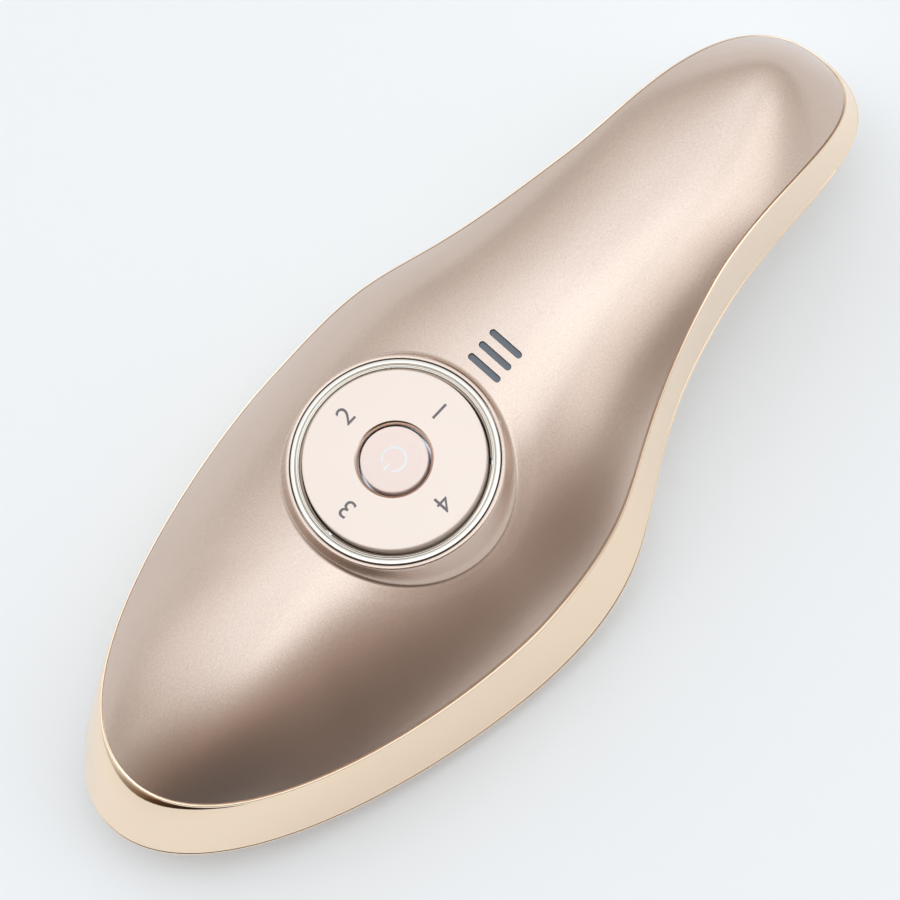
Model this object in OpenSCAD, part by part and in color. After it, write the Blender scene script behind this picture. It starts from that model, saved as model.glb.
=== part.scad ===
// Handheld facial toning device: a leaf-shaped body with a satin top cover, a polished
// side band and a base that carries a round treatment head. A four-way rocking mode pad
// with a power button in its middle sits in a round boss above the treatment head.
// The origin is the centre of the treatment face, on the axis of the mode pad.
// +X runs to the tail of the handle, +Z is up.

/* [Cover outline] */
// Distance from the pad axis to the front tip of the cover
cover_front = 76.6; // [74:0.1:79]
// Distance from the pad axis to the tail of the cover
cover_tail = 115.3; // [112:0.1:115.5]
// Half width of the cover at its widest place
cover_half_w = 36.7; // [35.5:0.1:38]
// Half width of the cover at the waist of the handle
cover_waist_half_w = 19.4; // [18.6:0.1:19.8]
// Place of the waist along the body
waist_x = 66; // [62:1:70]
// Inward slope of the waist
waist_slope = 0.22; // [0.18:0.01:0.26]
// Pull of the curve at the front tip, which sets how blunt it is
cover_front_pull = 25.3; // [24:0.1:27]
// Pull of the curve at the tail, which sets how blunt it is
cover_tail_pull = 20.4; // [19:0.2:22]

/* [Rim outline] */
// Distance from the pad axis to the front tip of the rim
rim_front = 85.7; // [83:0.1:89]
// Distance from the pad axis to the tail of the rim
rim_tail = 116.4; // [115:0.1:121]
// Half width of the rim at its widest place
rim_half_w = 41.4; // [40:0.1:43.5]
// Half width of the rim at the waist of the handle
rim_waist_half_w = 20.3; // [20:0.1:22]
// Pull of the rim curve at the front tip
rim_front_pull = 28; // [26:0.2:30]
// Pull of the rim curve at the tail
rim_tail_pull = 23.8; // [22:0.2:26]

/* [Side view] */
// Height of the top of the mode pad above the treatment face
pad_top_z = 45; // [44.6:0.1:45.6]
// Height of the cover's edge at the front tip
seam_front_z = 27.1; // [26:0.1:28]
// Height of the cover's edge at its lowest place
seam_low_z = 21.2; // [20:0.1:22]
// Height of the cover's edge at the arch of the handle
seam_arch_z = 38.2; // [37:0.1:39]
// Height of the cover's edge at the tail
seam_tail_z = 22; // [21.5:0.1:24]
// Height of the rim at the front tip
rim_front_z = 13.9; // [12.5:0.1:15]
// Height of the rim at its lowest place
rim_low_z = 4.2; // [3.8:0.1:5]
// Height of the rim at the arch of the handle
rim_arch_z = 20.7; // [20:0.1:21.5]
// Height of the rim at the tail
rim_tail_z = 18.6; // [18:0.1:19.2]
// Height of the crown line over the front of the head
crown_front_z = 39.2; // [38.8:0.1:39.8]
// Height of the crown line at the mode pad
crown_pad_z = 41.8; // [41.4:0.1:42.2]
// Height of the crown line at the arch of the handle
crown_arch_z = 45; // [44.6:0.1:45.6]
// Height of the crown line at the tail
crown_tail_z = 43; // [42.6:0.1:43.6]
// How full the cover's cross-section is, 2 being an ellipse
cover_fullness = 2.6; // [2.5:0.05:2.8]
// Height of the flat underside of the head
base_low_z = 0.8; // [0.5:0.1:1]
// Height of the underside of the handle
base_handle_z = 13.5; // [12.5:0.1:14.5]

/* [Walls and seams] */
// Wall of the top cover
cover_wall = 2.2; // [1.8:0.1:2.5]
// Wall of the side band
band_wall = 2.4; // [2:0.1:2.8]
// Wall of the base
base_wall = 2.2; // [1.8:0.1:2.4]
// Open line between the cover and the band
seam_gap = 0.25; // [0.15:0.05:0.4]
// Width of the polished bevel on the band's upper edge
band_bevel = 0.6; // [0.4:0.05:0.9]
// Height by which the band rolls under at the rim
rim_roll = 1.2; // [0.9:0.1:1.5]
// Height of the tongue that locates the cover and the base on the band
tongue_h = 2; // [1.5:0.1:2.5]
// Thickness of that tongue
tongue_t = 0.9; // [0.7:0.05:1.1]

/* [Mode pad] */
// Radius of the mode pad
pad_r = 17.45; // [17.2:0.05:17.7]
// Thickness of the mode pad's plate
pad_plate_t = 2; // [1.7:0.1:2.2]
// Tilt of the pad each way, in degrees
pad_tilt = 2.5; // [2:0.1:3]
// Distance from the top of the pad down to its pivot axes
pivot_drop = 5.2; // [5.1:0.05:5.4]
// Radius of the pad's centre hole
pad_hole_r = 6.95; // [6.9:0.05:7.1]
// Bevel round the pad's centre hole
pad_hole_bevel = 0.35; // [0.2:0.05:0.5]
// Radius of the four plungers' circle
plunger_circle_r = 13; // [12.8:0.1:13.4]
// Radius of a plunger
plunger_r = 1.5; // [1.3:0.05:1.6]
// Radius of the trunnion pins
trunnion_r = 0.9; // [0.7:0.05:1]
// Running clearance between a pin or plunger and its bore, on the radius
running_gap = 0.05; // [0.03:0.01:0.08]
// Inner radius of the gimbal ring
gimbal_in_r = 6; // [5.9:0.1:6.2]
// Outer radius of the gimbal ring
gimbal_out_r = 8.2; // [8:0.1:8.3]
// Height of the gimbal ring
gimbal_h = 3.2; // [3:0.1:3.4]
// Wall of the ring under the pad that holds the trunnions
hub_wall = 1.8; // [1.6:0.1:1.9]
// Free gap between moving rings
ring_gap = 0.5; // [0.4:0.05:0.55]

/* [Power button] */
// Radius of the power button
button_r = 6.42; // [6.3:0.02:6.5]
// Height of the button's cap
button_cap_h = 2.4; // [2.2:0.1:2.5]
// Travel of the button
button_travel = 0.8; // [0.6:0.1:0.9]
// Radius of the button's guide stem
button_stem_r = 3; // [2.8:0.1:3.2]

/* [Bezel and boss] */
// Radius of the bore in the cover's boss
boss_bore_r = 20.1; // [20.05:0.05:20.3]
// Width of the boss's upper rim
boss_rim_w = 0.85; // [0.7:0.05:1]
// Distance that the boss's cone spreads outward
boss_flare_w = 1.5; // [1.3:0.1:1.7]
// Depth of the boss's upper rim below the top of the pad
boss_drop = 1.4; // [1.3:0.05:1.6]
// Open line round the bezel
bezel_gap = 0.2; // [0.15:0.05:0.25]
// Gap between the pad and the bezel
pad_gap = 0.4; // [0.35:0.05:0.5]
// Depth from the boss's rim down to the seat of the bezel
bezel_seat_drop = 3; // [2.9:0.1:3.2]
// Thickness of the ledge that carries the bezel
ledge_t = 2.2; // [2:0.1:2.4]
// Width of that ledge
ledge_w = 1.6; // [1.4:0.1:1.8]
// Width of a service notch in the bezel's inner lip
notch_w = 1.4; // [1.2:0.1:1.6]
// Angle between the middle line and the two notches at the handle's side
notch_angle = 48; // [44:1:52]

/* [Indicator] */
// Distance from the pad axis to the first indicator slot
slot_first_x = 24.3; // [24.1:0.1:24.8]
// Pitch of the indicator slots
slot_pitch = 3; // [2.8:0.1:3.2]
// Number of indicator slots
slot_count = 3; // [3]
// Length of an indicator slot
slot_l = 8; // [7:0.5:9]
// Width of an indicator slot
slot_w = 1.36; // [1.2:0.02:1.6]
// Clearance of the lens bars in the slots
lens_gap = 0.08; // [0.05:0.01:0.12]
// Depth of the lens bars below the cover
lens_sink = 0.45; // [0.3:0.05:0.6]

/* [Treatment head] */
// Radius of the treatment head
head_r = 27; // [26.5:0.1:27.5]
// Clearance between the treatment head and the base
head_gap = 0.2; // [0.15:0.05:0.3]
// Radius of the cooling plate
cool_r = 15; // [14.5:0.1:15.4]
// Thickness of the cooling plate
cool_t = 4; // [3.6:0.1:4.4]
// Mean radius of the inner electrode ring
inner_electrode_r = 18.2; // [18:0.1:18.5]
// Width of the insulating land between the two electrode rings
electrode_land = 2.2; // [1.8:0.1:2.6]
// Width of an electrode ring
electrode_w = 2.6; // [2.2:0.1:3]
// Height by which an electrode stands out of the insulator
electrode_h = 0.5; // [0.3:0.05:0.6]
// Depth of an electrode's foot in the insulator
electrode_depth = 1.5; // [1.2:0.1:1.8]
// Thickness of the flange that holds the head in the base
flange_t = 2.2; // [2:0.1:2.6]
// Width of the head's flange
flange_w = 3.4; // [3:0.1:3.8]
// Thickness of the seal under the flange
seal_t = 0.8; // [0.6:0.1:1]
// Edge of the thermoelectric module
peltier_w = 20; // [18:0.5:20.5]
// Thickness of the thermoelectric module
peltier_t = 3.6; // [3.2:0.1:4]
// Length of the heat sink
sink_l = 44; // [40:1:46]
// Width of the heat sink
sink_w = 40; // [38:1:42]
// Thickness of the heat sink's plate
sink_plate_t = 2.6; // [2.2:0.1:3]
// Height of the heat sink's fins
fin_h = 9.5; // [8:0.5:10]
// Thickness of a fin
fin_t = 1; // [0.8:0.1:1.2]
// Number of fins
fin_count = 11; // [9:1:12]

/* [Electronics] */
// Thickness of the boards
board_t = 1.6; // [1:0.1:1.6]
// Radius of the switch board
switch_board_r = 16.9; // [16.7:0.1:17.2]
// Edge of a switch body
switch_w = 6; // [5.8:0.1:6.2]
// Height of a switch body
switch_h = 2.8; // [2.6:0.1:3]
// Radius of a switch stem
switch_stem_r = 1.2; // [1:0.05:1.25]
// Length of the battery
battery_l = 38; // [34:1:39]
// Width of the battery
battery_w = 22; // [19:0.5:22.5]
// Thickness of the battery
battery_t = 9; // [7:0.2:10]
// Front end of the battery
battery_x = 50; // [49:0.1:50.5]
// Wall of the battery tray
tray_wall = 1.2; // [1:0.1:1.4]
// Height of the tray's sides
tray_h = 7; // [6:0.5:8]
// Height of the battery tray's floor above the treatment face
tray_z = 21; // [20.8:0.1:22]
// Width of the main board
main_board_w = 22; // [20:0.5:23]
// Height of the main board above the battery tray's floor
main_board_lift = 13; // [12:0.5:13.5]

/* [Charging socket] */
// Place of the charging socket along the body
socket_x = 97; // [96:0.5:98]
// Radius of the recess for the plug's collar
socket_recess_r = 4; // [3.8:0.1:4.2]
// Depth of that recess
socket_recess_d = 3.4; // [3:0.1:3.6]
// Radius of the socket's mouth
socket_mouth_r = 1.9; // [1.8:0.05:2]
// Radius of the centre contact
socket_pin_r = 0.6; // [0.5:0.05:0.7]
// Edge of the socket's body
socket_w = 9; // [8.4:0.1:9.2]
// Height of the socket's body
socket_h = 10; // [9:0.5:11]

/* [Screws] */
// Radius of a case screw's shank
screw_r = 1.1; // [1:0.05:1.2]
// Radius of a case screw's head
screw_head_r = 2.2; // [2:0.1:2.3]
// Height of a case screw's head
screw_head_h = 1.4; // [1.2:0.1:1.6]
// Wall round a screw in its boss
screw_wall = 1.5; // [1.3:0.1:1.7]
// Place of the front case screw
front_screw_x = -57; // [-59:0.5:-56]
// Place of the middle case screw
mid_screw_x = 41; // [40.5:0.1:41.5]
// Place of the rear case screw
rear_screw_x = 106; // [105.5:0.1:106.5]

/* [Hidden] */
$fn = 64;
half_n = 36;
ring_n = 2 * half_n;
front_pull_in = 22.5;
cover_wide_pull = 34;
waist_pull_front = 41;
waist_pull_back = 20;
rim_wide_pull = 25;
rim_waist_pull_front = 37;
rim_waist_pull_back = 26;
cover_wide_x = -1.3;
rim_wide_x = 4.2;

// Places along the body where the side view turns
seam_low_x = -5;
seam_arch_x = 77;
rim_low_x = -15;
rim_arch_x = 55;
crown_low_x = 0;
crown_arch_x = 50;
base_flat_x = 27;
base_arch_x = 72;

// Ends of the crown line and of the underside's middle line
cover_spine_in = [34.7, 17.8];
base_spine_in = [40.7, 18.4];
cover_spine = [cover_spine_in[0] - cover_front, cover_tail - cover_spine_in[1]];
base_spine = [base_spine_in[0] - rim_front, rim_tail - base_spine_in[1]];

// Offsets of the seams, measured inward from the cover's outline or the rim
cover_tongue_in = cover_wall - tongue_t;
band_top_in = cover_tongue_in - 0.15;
base_edge_in = rim_roll + 0.2;
band_foot_in = 3.1;
base_tongue_out = band_foot_in + 0.15;
base_inner_in = base_tongue_out + tongue_t;
base_inner_rise = 0.7;
base_tongue_h = 1.3;

// ---- Curves of the body ----

function bezier(p, t) = pow(1 - t, 3) * p[0] + 3 * pow(1 - t, 2) * t * p[1]
    + 3 * (1 - t) * t * t * p[2] + pow(t, 3) * p[3];

function ease(t) = let(s = min(1, max(0, t))) s * s * (3 - 2 * s);

// One side of a leaf outline, from the front tip over the widest place and the waist to the tail
function leaf_side(front, front_pull, wide_x, half_w, wide_pull, waist_w, waist_front, waist_back, tail,
    tail_pull) =
    let(n = half_n / 3)
    let(widest = [wide_x, half_w])
    let(waist = [waist_x, waist_w])
    let(lean = [1, -waist_slope])
    let(head = [[-front, 0], [-front, front_pull], widest - [front_pull_in, 0], widest])
    let(neck = [widest, widest + [wide_pull, 0], waist - waist_front * lean, waist])
    let(grip = [waist, waist + waist_back * lean, [tail, tail_pull], [tail, 0]])
    concat(
        [for (i = [0:n - 1]) bezier(head, i / n)],
        [for (i = [0:n - 1]) bezier(neck, i / n)],
        [for (i = [0:n]) bezier(grip, i / n)]);

// The whole outline: one side and its mirror image
function leaf(side) = concat(side, [for (i = [half_n - 1:-1:1]) [side[i][0], -side[i][1]]]);

// An outline moved inward by the distance d
function inset(ring, d) = [for (i = [0:ring_n - 1])
    let(a = ring[(i + ring_n - 1) % ring_n])
    let(b = ring[(i + 1) % ring_n])
    let(run = (b - a) / norm(b - a))
    ring[i] + d * [run[1], -run[0]]];

// A height along the body: parabolas to both ends and an S-curve between the low place and the arch
function side_line(x, x_front, x_low, x_arch, x_tail, z_front, z_low, z_arch, z_tail) =
    x < x_low ? z_low + (z_front - z_low) * pow((x_low - x) / (x_low - x_front), 2)
    : x < x_arch ? z_low + (z_arch - z_low) * ease((x - x_low) / (x_arch - x_low))
    : z_arch + (z_tail - z_arch) * pow((x - x_arch) / (x_tail - x_arch), 2);

cover_ring = leaf(leaf_side(cover_front, cover_front_pull, cover_wide_x, cover_half_w, cover_wide_pull,
    cover_waist_half_w, waist_pull_front, waist_pull_back, cover_tail, cover_tail_pull));
rim_ring = leaf(leaf_side(rim_front, rim_front_pull, rim_wide_x, rim_half_w, rim_wide_pull,
    rim_waist_half_w, rim_waist_pull_front, rim_waist_pull_back, rim_tail, rim_tail_pull));

function seam_z(x) = side_line(x, -cover_front, seam_low_x, seam_arch_x, cover_tail,
    seam_front_z, seam_low_z, seam_arch_z, seam_tail_z);
function rim_z(x) = side_line(x, -rim_front, rim_low_x, rim_arch_x, rim_tail,
    rim_front_z, rim_low_z, rim_arch_z, rim_tail_z);
function crown_z(x) = side_line(x, cover_spine[0], crown_low_x, crown_arch_x, cover_spine[1],
    crown_front_z, crown_pad_z, crown_arch_z, crown_tail_z);
function belly_z(x) = side_line(x, base_spine[0], base_flat_x, base_arch_x, base_spine[1],
    base_low_z, base_low_z, base_handle_z, base_handle_z - 0.5);

seam_zs = [for (p = cover_ring) seam_z(p[0])];
rim_zs = [for (p = rim_ring) rim_z(p[0])];

// Point of the middle line that an outline point is drawn towards
function spine_x(x, from, to, spine) = spine[0] + (x - from) / (to - from) * (spine[1] - spine[0]);
cover_spine_xs = [for (p = cover_ring) spine_x(p[0], -cover_front, cover_tail, cover_spine)];
base_spine_xs = [for (p = rim_ring) spine_x(p[0], -rim_front, rim_tail, base_spine)];

// Fullness of the underside's cross-section: high for a flat middle with steep sides
function base_fullness(x) = 2.4 + 2.6 * (1 - ease((x - base_flat_x) / (base_arch_x - base_flat_x)));

// Ring of a shell at the fraction r of the way from the middle line to its edge;
// middle_z gives the height of the middle line over any place along the body
function shell_ring(edge, edge_zs, xs, middle_z, powers, r) = [for (i = [0:ring_n - 1])
    let(foot = [xs[i], 0])
    let(p = foot + r * (edge[i] - foot))
    [p[0], p[1], edge_zs[i] + (middle_z(p[0]) - edge_zs[i]) * (1 - pow(r, powers[i]))]];

function shell_spine(xs, middle_z) = [for (i = [0:half_n]) [xs[i], 0, middle_z(xs[i])]];
function lift(ring, zs) = [for (i = [0:ring_n - 1]) [ring[i][0], ring[i][1], zs[i]]];
function raised(zs, d) = [for (z = zs) z + d];
function flat(lists) = [for (l = lists) for (v = l) v];

// ---- Skins ----

// Triangles between two rings of points that start at a and b
function band_faces(a, b, up) = flat([for (i = [0:ring_n - 1])
    let(j = (i + 1) % ring_n)
    up ? [[a + i, b + i, a + j], [a + j, b + i, b + j]]
    : [[a + i, a + j, b + i], [a + j, b + j, b + i]]]);

// Triangles between a ring and the middle line that both its sides share
function spine_faces(a, s, up) = flat([for (i = [0:ring_n - 1])
    let(j = (i + 1) % ring_n)
    let(si = s + min(i, ring_n - i))
    let(sj = s + min(j, ring_n - j))
    up ? [[a + i, si, a + j], [a + j, si, sj]] : [[a + i, a + j, si], [a + j, sj, si]]]);

// A hollow shell: rings of the outside from the edge inward, then the inside and its locating tongue
module hollow_shell(outer, outer_spine, inner, inner_spine, tongue, up) {
    inner_all = concat(inner, tongue);
    no = len(outer);
    ni = len(inner_all);
    so = no * ring_n;
    si = so + half_n + 1;
    ri = si + half_n + 1;
    polyhedron(
        points = concat(flat(outer), outer_spine, inner_spine, flat(inner_all)),
        faces = concat(
            flat([for (k = [0:no - 2]) band_faces(k * ring_n, (k + 1) * ring_n, up)]),
            spine_faces((no - 1) * ring_n, so, up),
            spine_faces(ri, si, !up),
            flat([for (k = [0:ni - 2]) band_faces(ri + k * ring_n, ri + (k + 1) * ring_n, up)]),
            band_faces(ri + (ni - 1) * ring_n, 0, up)),
        convexity = 8);
}

// A closed ring-shaped skin through a loop of rings
module ring_skin(rings) {
    n = len(rings);
    polyhedron(
        points = flat(rings),
        faces = flat([for (k = [0:n - 1]) band_faces(k * ring_n, ((k + 1) % n) * ring_n, true)]),
        convexity = 8);
}

cover_fractions = [1, 0.97, 0.92, 0.85, 0.76, 0.65, 0.52, 0.36, 0.18];
inner_fractions = [0.2, 0.45, 0.65, 0.8, 0.92, 1];
base_fractions = [1, 0.97, 0.92, 0.84, 0.72, 0.56, 0.36, 0.16];

module cover_shell() {
    powers = [for (x = cover_spine_xs) cover_fullness];
    top_z = function(x) crown_z(x);
    ceiling_z = function(x) crown_z(x) - cover_wall;
    inside = inset(cover_ring, cover_wall);
    lip = inset(cover_ring, cover_tongue_in);
    hollow_shell(
        [for (r = cover_fractions) shell_ring(cover_ring, seam_zs, cover_spine_xs, top_z, powers, r)],
        shell_spine(cover_spine_xs, top_z),
        [for (r = inner_fractions) shell_ring(inside, seam_zs, cover_spine_xs, ceiling_z, powers, r)],
        shell_spine(cover_spine_xs, ceiling_z),
        [lift(inside, raised(seam_zs, -tongue_h)),
            lift(lip, raised(seam_zs, -tongue_h)),
            lift(lip, seam_zs)],
        false);
}

base_edge_zs = raised(rim_zs, -rim_roll - seam_gap);

module base_shell() {
    powers = [for (x = base_spine_xs) base_fullness(x)];
    low_z = function(x) belly_z(x);
    floor_z = function(x) belly_z(x) + base_wall;
    outside = inset(rim_ring, base_edge_in);
    inside = inset(rim_ring, base_inner_in);
    lip = inset(rim_ring, base_tongue_out);
    hollow_shell(
        [for (r = base_fractions) shell_ring(outside, base_edge_zs, base_spine_xs, low_z, powers, r)],
        shell_spine(base_spine_xs, low_z),
        [for (r = inner_fractions) shell_ring(inside, raised(base_edge_zs, base_inner_rise),
            base_spine_xs, floor_z, powers, r)],
        shell_spine(base_spine_xs, floor_z),
        [lift(inside, raised(base_edge_zs, base_tongue_h)),
            lift(lip, raised(base_edge_zs, base_tongue_h)),
            lift(lip, base_edge_zs)],
        true);
}

// Sweep of the band's wall: slightly hollow along the grip, bulging where it leans out at the tip
flare_start = 15;
flare_run = 52;
flare_grip = 1.15;
flare_tip = 0.7;
function flare_power(x) = flare_grip + (flare_tip - flare_grip) * ease((-x - flare_start) / flare_run);
wall_fractions = [0.06, 0.2, 0.45, 0.7, 0.88];

// Ring of the band's wall at the fraction v of the way down from the seam to the rim
function wall_ring(top, top_zs, foot, foot_zs, v) = [for (i = [0:ring_n - 1])
    let(p = top[i] + (foot[i] - top[i]) * pow(v, flare_power(cover_ring[i][0])))
    [p[0], p[1], top_zs[i] + (foot_zs[i] - top_zs[i]) * v]];

module band_skin() {
    top_zs = raised(seam_zs, -seam_gap);
    bevel_out = inset(cover_ring, -band_bevel);
    bevel_zs = raised(top_zs, -band_bevel);
    shoulder_zs = raised(seam_zs, -tongue_h - 0.3);
    foot_zs = raised(rim_zs, -rim_roll);
    foot_top_zs = raised(base_edge_zs, base_tongue_h + 0.3);
    inner_top = inset(cover_ring, band_wall);
    inner_foot = inset(rim_ring, band_foot_in + 1);
    ring_skin(concat(
        [lift(cover_ring, top_zs), lift(bevel_out, bevel_zs)],
        [for (v = wall_fractions) wall_ring(bevel_out, bevel_zs, rim_ring, rim_zs, v)],
        [lift(rim_ring, rim_zs),
            lift(inset(rim_ring, 0.3 * rim_roll), raised(rim_zs, -0.7 * rim_roll)),
            lift(inset(rim_ring, rim_roll), foot_zs),
            lift(inset(rim_ring, band_foot_in), foot_zs),
            lift(inset(rim_ring, band_foot_in), foot_top_zs),
            lift(inner_foot, foot_top_zs),
            wall_ring(inner_top, shoulder_zs, inner_foot, foot_top_zs, 0.5),
            lift(inner_top, shoulder_zs),
            lift(inset(cover_ring, band_top_in), shoulder_zs),
            lift(inset(cover_ring, band_top_in), top_zs)]));
}

// ---- Heights and radii of the control stack ----

pivot_z = pad_top_z - pivot_drop;
boss_top_z = pad_top_z - boss_drop;
bezel_seat_z = boss_top_z - bezel_seat_drop;
ledge_low_z = bezel_seat_z - ledge_t;
ledge_in_r = boss_bore_r - ledge_w;
boss_rim_r = boss_bore_r + boss_rim_w;
boss_skirt_drop = 9.4;
boss_flare_h = 3.9;
boss_skirt_r = boss_rim_r + boss_flare_w * boss_skirt_drop / boss_flare_h;
frame_recess_r = boss_bore_r + 1.1;
bezel_out_r = boss_bore_r - bezel_gap;
bezel_in_r = pad_r + pad_gap;
bezel_lip_z = boss_top_z - 0.9;

pad_low_z = pad_top_z - pad_plate_t;
pad_skirt_h = 3.4;
pad_skirt_w = 1.2;
hub_in_r = gimbal_out_r + ring_gap;
hub_out_r = hub_in_r + hub_wall;
hub_low_z = pivot_z - trunnion_r - 1;
bore_r = trunnion_r + running_gap;
post_r = gimbal_in_r - ring_gap;
post_top_z = pad_top_z - button_cap_h - button_travel - 0.4;
frame_floor_z = pivot_z - 3.2;
frame_floor_t = 1.8;
frame_low_z = frame_floor_z - frame_floor_t;
frame_out_r = ledge_in_r - 0.2;
frame_wall = 1.4;
tilt_clearance = 0.64;
frame_top_z = pad_top_z - pad_skirt_h - pad_r * sin(pad_tilt) - tilt_clearance;
flange_r = frame_recess_r - 0.3;
frame_flange_t = 1.6;
guide_r = plunger_r + 1.1;
switch_gap = 1.2;
switch_top_z = frame_low_z - switch_gap;
switch_board_z = switch_top_z - switch_h - board_t;
switch_bore_d = switch_h - 0.4;
stem_depth = 1.4;
stem_bore_r = switch_stem_r + running_gap;
plunger_top_z = pad_low_z - 0.1;
plunger_low_z = frame_low_z + 0.2;
button_low_z = frame_low_z + 0.1;
stem_top_z = button_low_z - 0.03;
post_circle_r = 14.6;
stand_r = 1.5;
small_screw_r = 0.6;
small_head_r = 1.1;
small_head_h = 0.8;
frame_screw_circle_r = (frame_out_r + flange_r) / 2;
frame_screw_angles = [30, 150, 270];
frame_screw_bite = 1.4;

// ---- Places of the treatment head's layers ----

seat_z = 3.6;
outer_electrode_r = inner_electrode_r + electrode_w + electrode_land;
opening_r = head_r + head_gap;
head_flange_z = seat_z + seal_t;
head_flange_r = head_r + flange_w;
head_pocket_r = head_flange_r + 0.8;
collar_w = 2;
collar_z = 0.45;
head_face_z = electrode_h;
head_top_z = head_flange_z + flange_t;
cool_flange_t = 1;
cool_flange_w = 1.6;
ear_circle_r = head_flange_r + 2.6;
ear_r = 3;
ear_boss_sink = 1.3;
ear_t = flange_t - 0.3;
ear_angles = [0, 120, 240];
sink_z = cool_t + peltier_t;
sink_post_x = 17;
sink_post_y = 14.5;
sink_post_r = 2;

// ---- Places in the handle ----

tray_end_w = 4.2;
tray_x = battery_x - tray_end_w;
tray_l = battery_l + 2 * tray_end_w;
tray_post_in = 6;
tray_post_y = 8;
tray_post_r = 2;
pillar_in = 1.8;
pillar_y = 8;
pillar_r = 1.4;
battery_z = tray_z + tray_wall;
main_board_z = tray_z + main_board_lift;
socket_floor_z = belly_z(socket_x) + socket_recess_d;
socket_boss_r = socket_recess_r + 1.6;
socket_z = socket_floor_z + 1.2;
socket_nose_r = socket_mouth_r + 1;

// Middle line of the cover and of the base, also beyond the ends of their spines
function cover_mid_z(x) =
    let(ahead = x < crown_low_x)
    let(edge_z = ahead ? seam_front_z : seam_tail_z)
    let(from = ahead ? cover_spine[0] : cover_spine[1])
    let(to = ahead ? -cover_front : cover_tail)
    edge_z + (crown_z(x) - edge_z) * (1 - pow(max(0, (x - from) / (to - from)), cover_fullness));
function base_mid_z(x) =
    let(edge_z = rim_tail_z - rim_roll - seam_gap)
    let(reach = max(0, (x - base_spine[1]) / (rim_tail - base_spine[1])))
    edge_z + (belly_z(x) - edge_z) * (1 - pow(reach, base_fullness(base_spine[1])));

// Case screws: place along the body and height where the two columns meet
case_screws_at = [[front_screw_x, 14], [mid_screw_x, 20], [rear_screw_x, 26]];
case_column_r = screw_r + screw_wall;
case_foot_r = screw_head_r + 1.1;
case_head_z = 1.4;
case_reach = 7;
function cover_column_top(x) =
    min(cover_mid_z(x - case_column_r), cover_mid_z(x + case_column_r)) - cover_wall / 2;

// ---- Shared shapes ----

// Ring of revolution between two radii
module ring(out_r, in_r, h) {
    rotate_extrude()
        translate([in_r, 0])
            square([out_r - in_r, h]);
}

// Straight bar with round ends along Y
module round_bar(l, w, h) {
    straight = l - w;
    translate([-w / 2, -straight / 2, 0])
        cube([w, straight, h]);
    for (side = [-1, 1])
        translate([0, side * straight / 2, 0])
            cylinder(r = w / 2, h = h, $fn = 32);
}

// Copies an item to places on a circle
module around(radius, angles) {
    for (a = angles)
        rotate([0, 0, a])
            translate([radius, 0, 0])
                children();
}

// Cylinder along X from one radius to another
module spoke(r, from, to) {
    translate([from, 0, 0])
        rotate([0, 90, 0])
            cylinder(r = r, h = to - from, $fn = 32);
}

// Screw with its head at the bottom and its shank pointing up
module screw(head_r, head_h, shank_r, l) {
    cylinder(r = head_r, h = head_h, $fn = 32);
    cylinder(r = shank_r, h = head_h + l, $fn = 24);
}

module indicator_places() {
    for (i = [0:slot_count - 1])
        translate([slot_first_x + i * slot_pitch, 0, 0])
            children();
}

// ---- Sub-parts: housing ----

boss_round = 0.45;
boss_overlap = 0.4;

// Round boss of the cover: bore for the bezel, ledge below it and conical outside
module cover_boss() {
    rotate_extrude()
        polygon(concat(
            [[ledge_in_r, ledge_low_z], [ledge_in_r, bezel_seat_z], [boss_bore_r, bezel_seat_z],
                [boss_bore_r, boss_top_z - 0.1], [boss_bore_r + 0.1, boss_top_z]],
            [for (a = [90:-15:0]) [boss_rim_r - boss_round + boss_round * cos(a),
                boss_top_z - boss_round + boss_round * sin(a)]],
            [[boss_skirt_r, boss_top_z - boss_skirt_drop],
                [frame_recess_r, boss_top_z - boss_skirt_drop], [frame_recess_r, ledge_low_z]]));
}

lens_plate_t = 1.2;
lens_plate_z = crown_z(slot_first_x) - cover_wall - 0.4 - lens_plate_t;
lens_rim = 2;
lens_plate_l = (slot_count - 1) * slot_pitch + slot_w + 1.6;
lens_plate_x = slot_first_x - slot_w / 2 - 0.6;
lens_plate_w = slot_l + 2 * lens_rim;
lens_rib_w = 1;

module top_cover() {
    color([0.78, 0.68, 0.60])
    difference() {
        union() {
            difference() {
                cover_shell();
                cylinder(r = frame_recess_r, h = ledge_low_z);
                translate([0, 0, ledge_low_z - boss_overlap])
                    cylinder(r = boss_bore_r + boss_overlap, h = boss_top_z - ledge_low_z);
            }
            cover_boss();
            for (s = case_screws_at)
                translate([s[0], 0, s[1]])
                    cylinder(r = case_column_r, h = cover_column_top(s[0]) - s[1], $fn = 32);
            for (side = [-1, 1])
                translate([lens_plate_x + 0.4, side * (lens_plate_w / 2 - lens_rib_w / 2) - lens_rib_w / 2,
                        lens_plate_z + lens_plate_t])
                    cube([lens_plate_l - 0.8, lens_rib_w, 1.6]);
        }
        for (s = case_screws_at)
            translate([s[0], 0, s[1] - 1])
                cylinder(r = screw_r, h = case_reach + 2, $fn = 32);
        around(frame_screw_circle_r, frame_screw_angles)
            translate([0, 0, ledge_low_z - 1])
                cylinder(r = small_screw_r, h = frame_screw_bite + 1.2, $fn = 24);
        indicator_places()
            translate([0, 0, lens_plate_z + lens_plate_t])
                round_bar(slot_l, slot_w, slot_l);
    }
}

module side_band() {
    color([0.93, 0.82, 0.74])
    band_skin();
}

// Land and outer collar round the opening for the treatment head
module head_collar() {
    rotate_extrude()
        polygon([[opening_r, collar_z], [opening_r + collar_w, collar_z],
            [opening_r + collar_w + 0.5, collar_z + 0.5], [head_pocket_r, collar_z + 1.5],
            [head_pocket_r, seat_z], [opening_r, seat_z]]);
}

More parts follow.
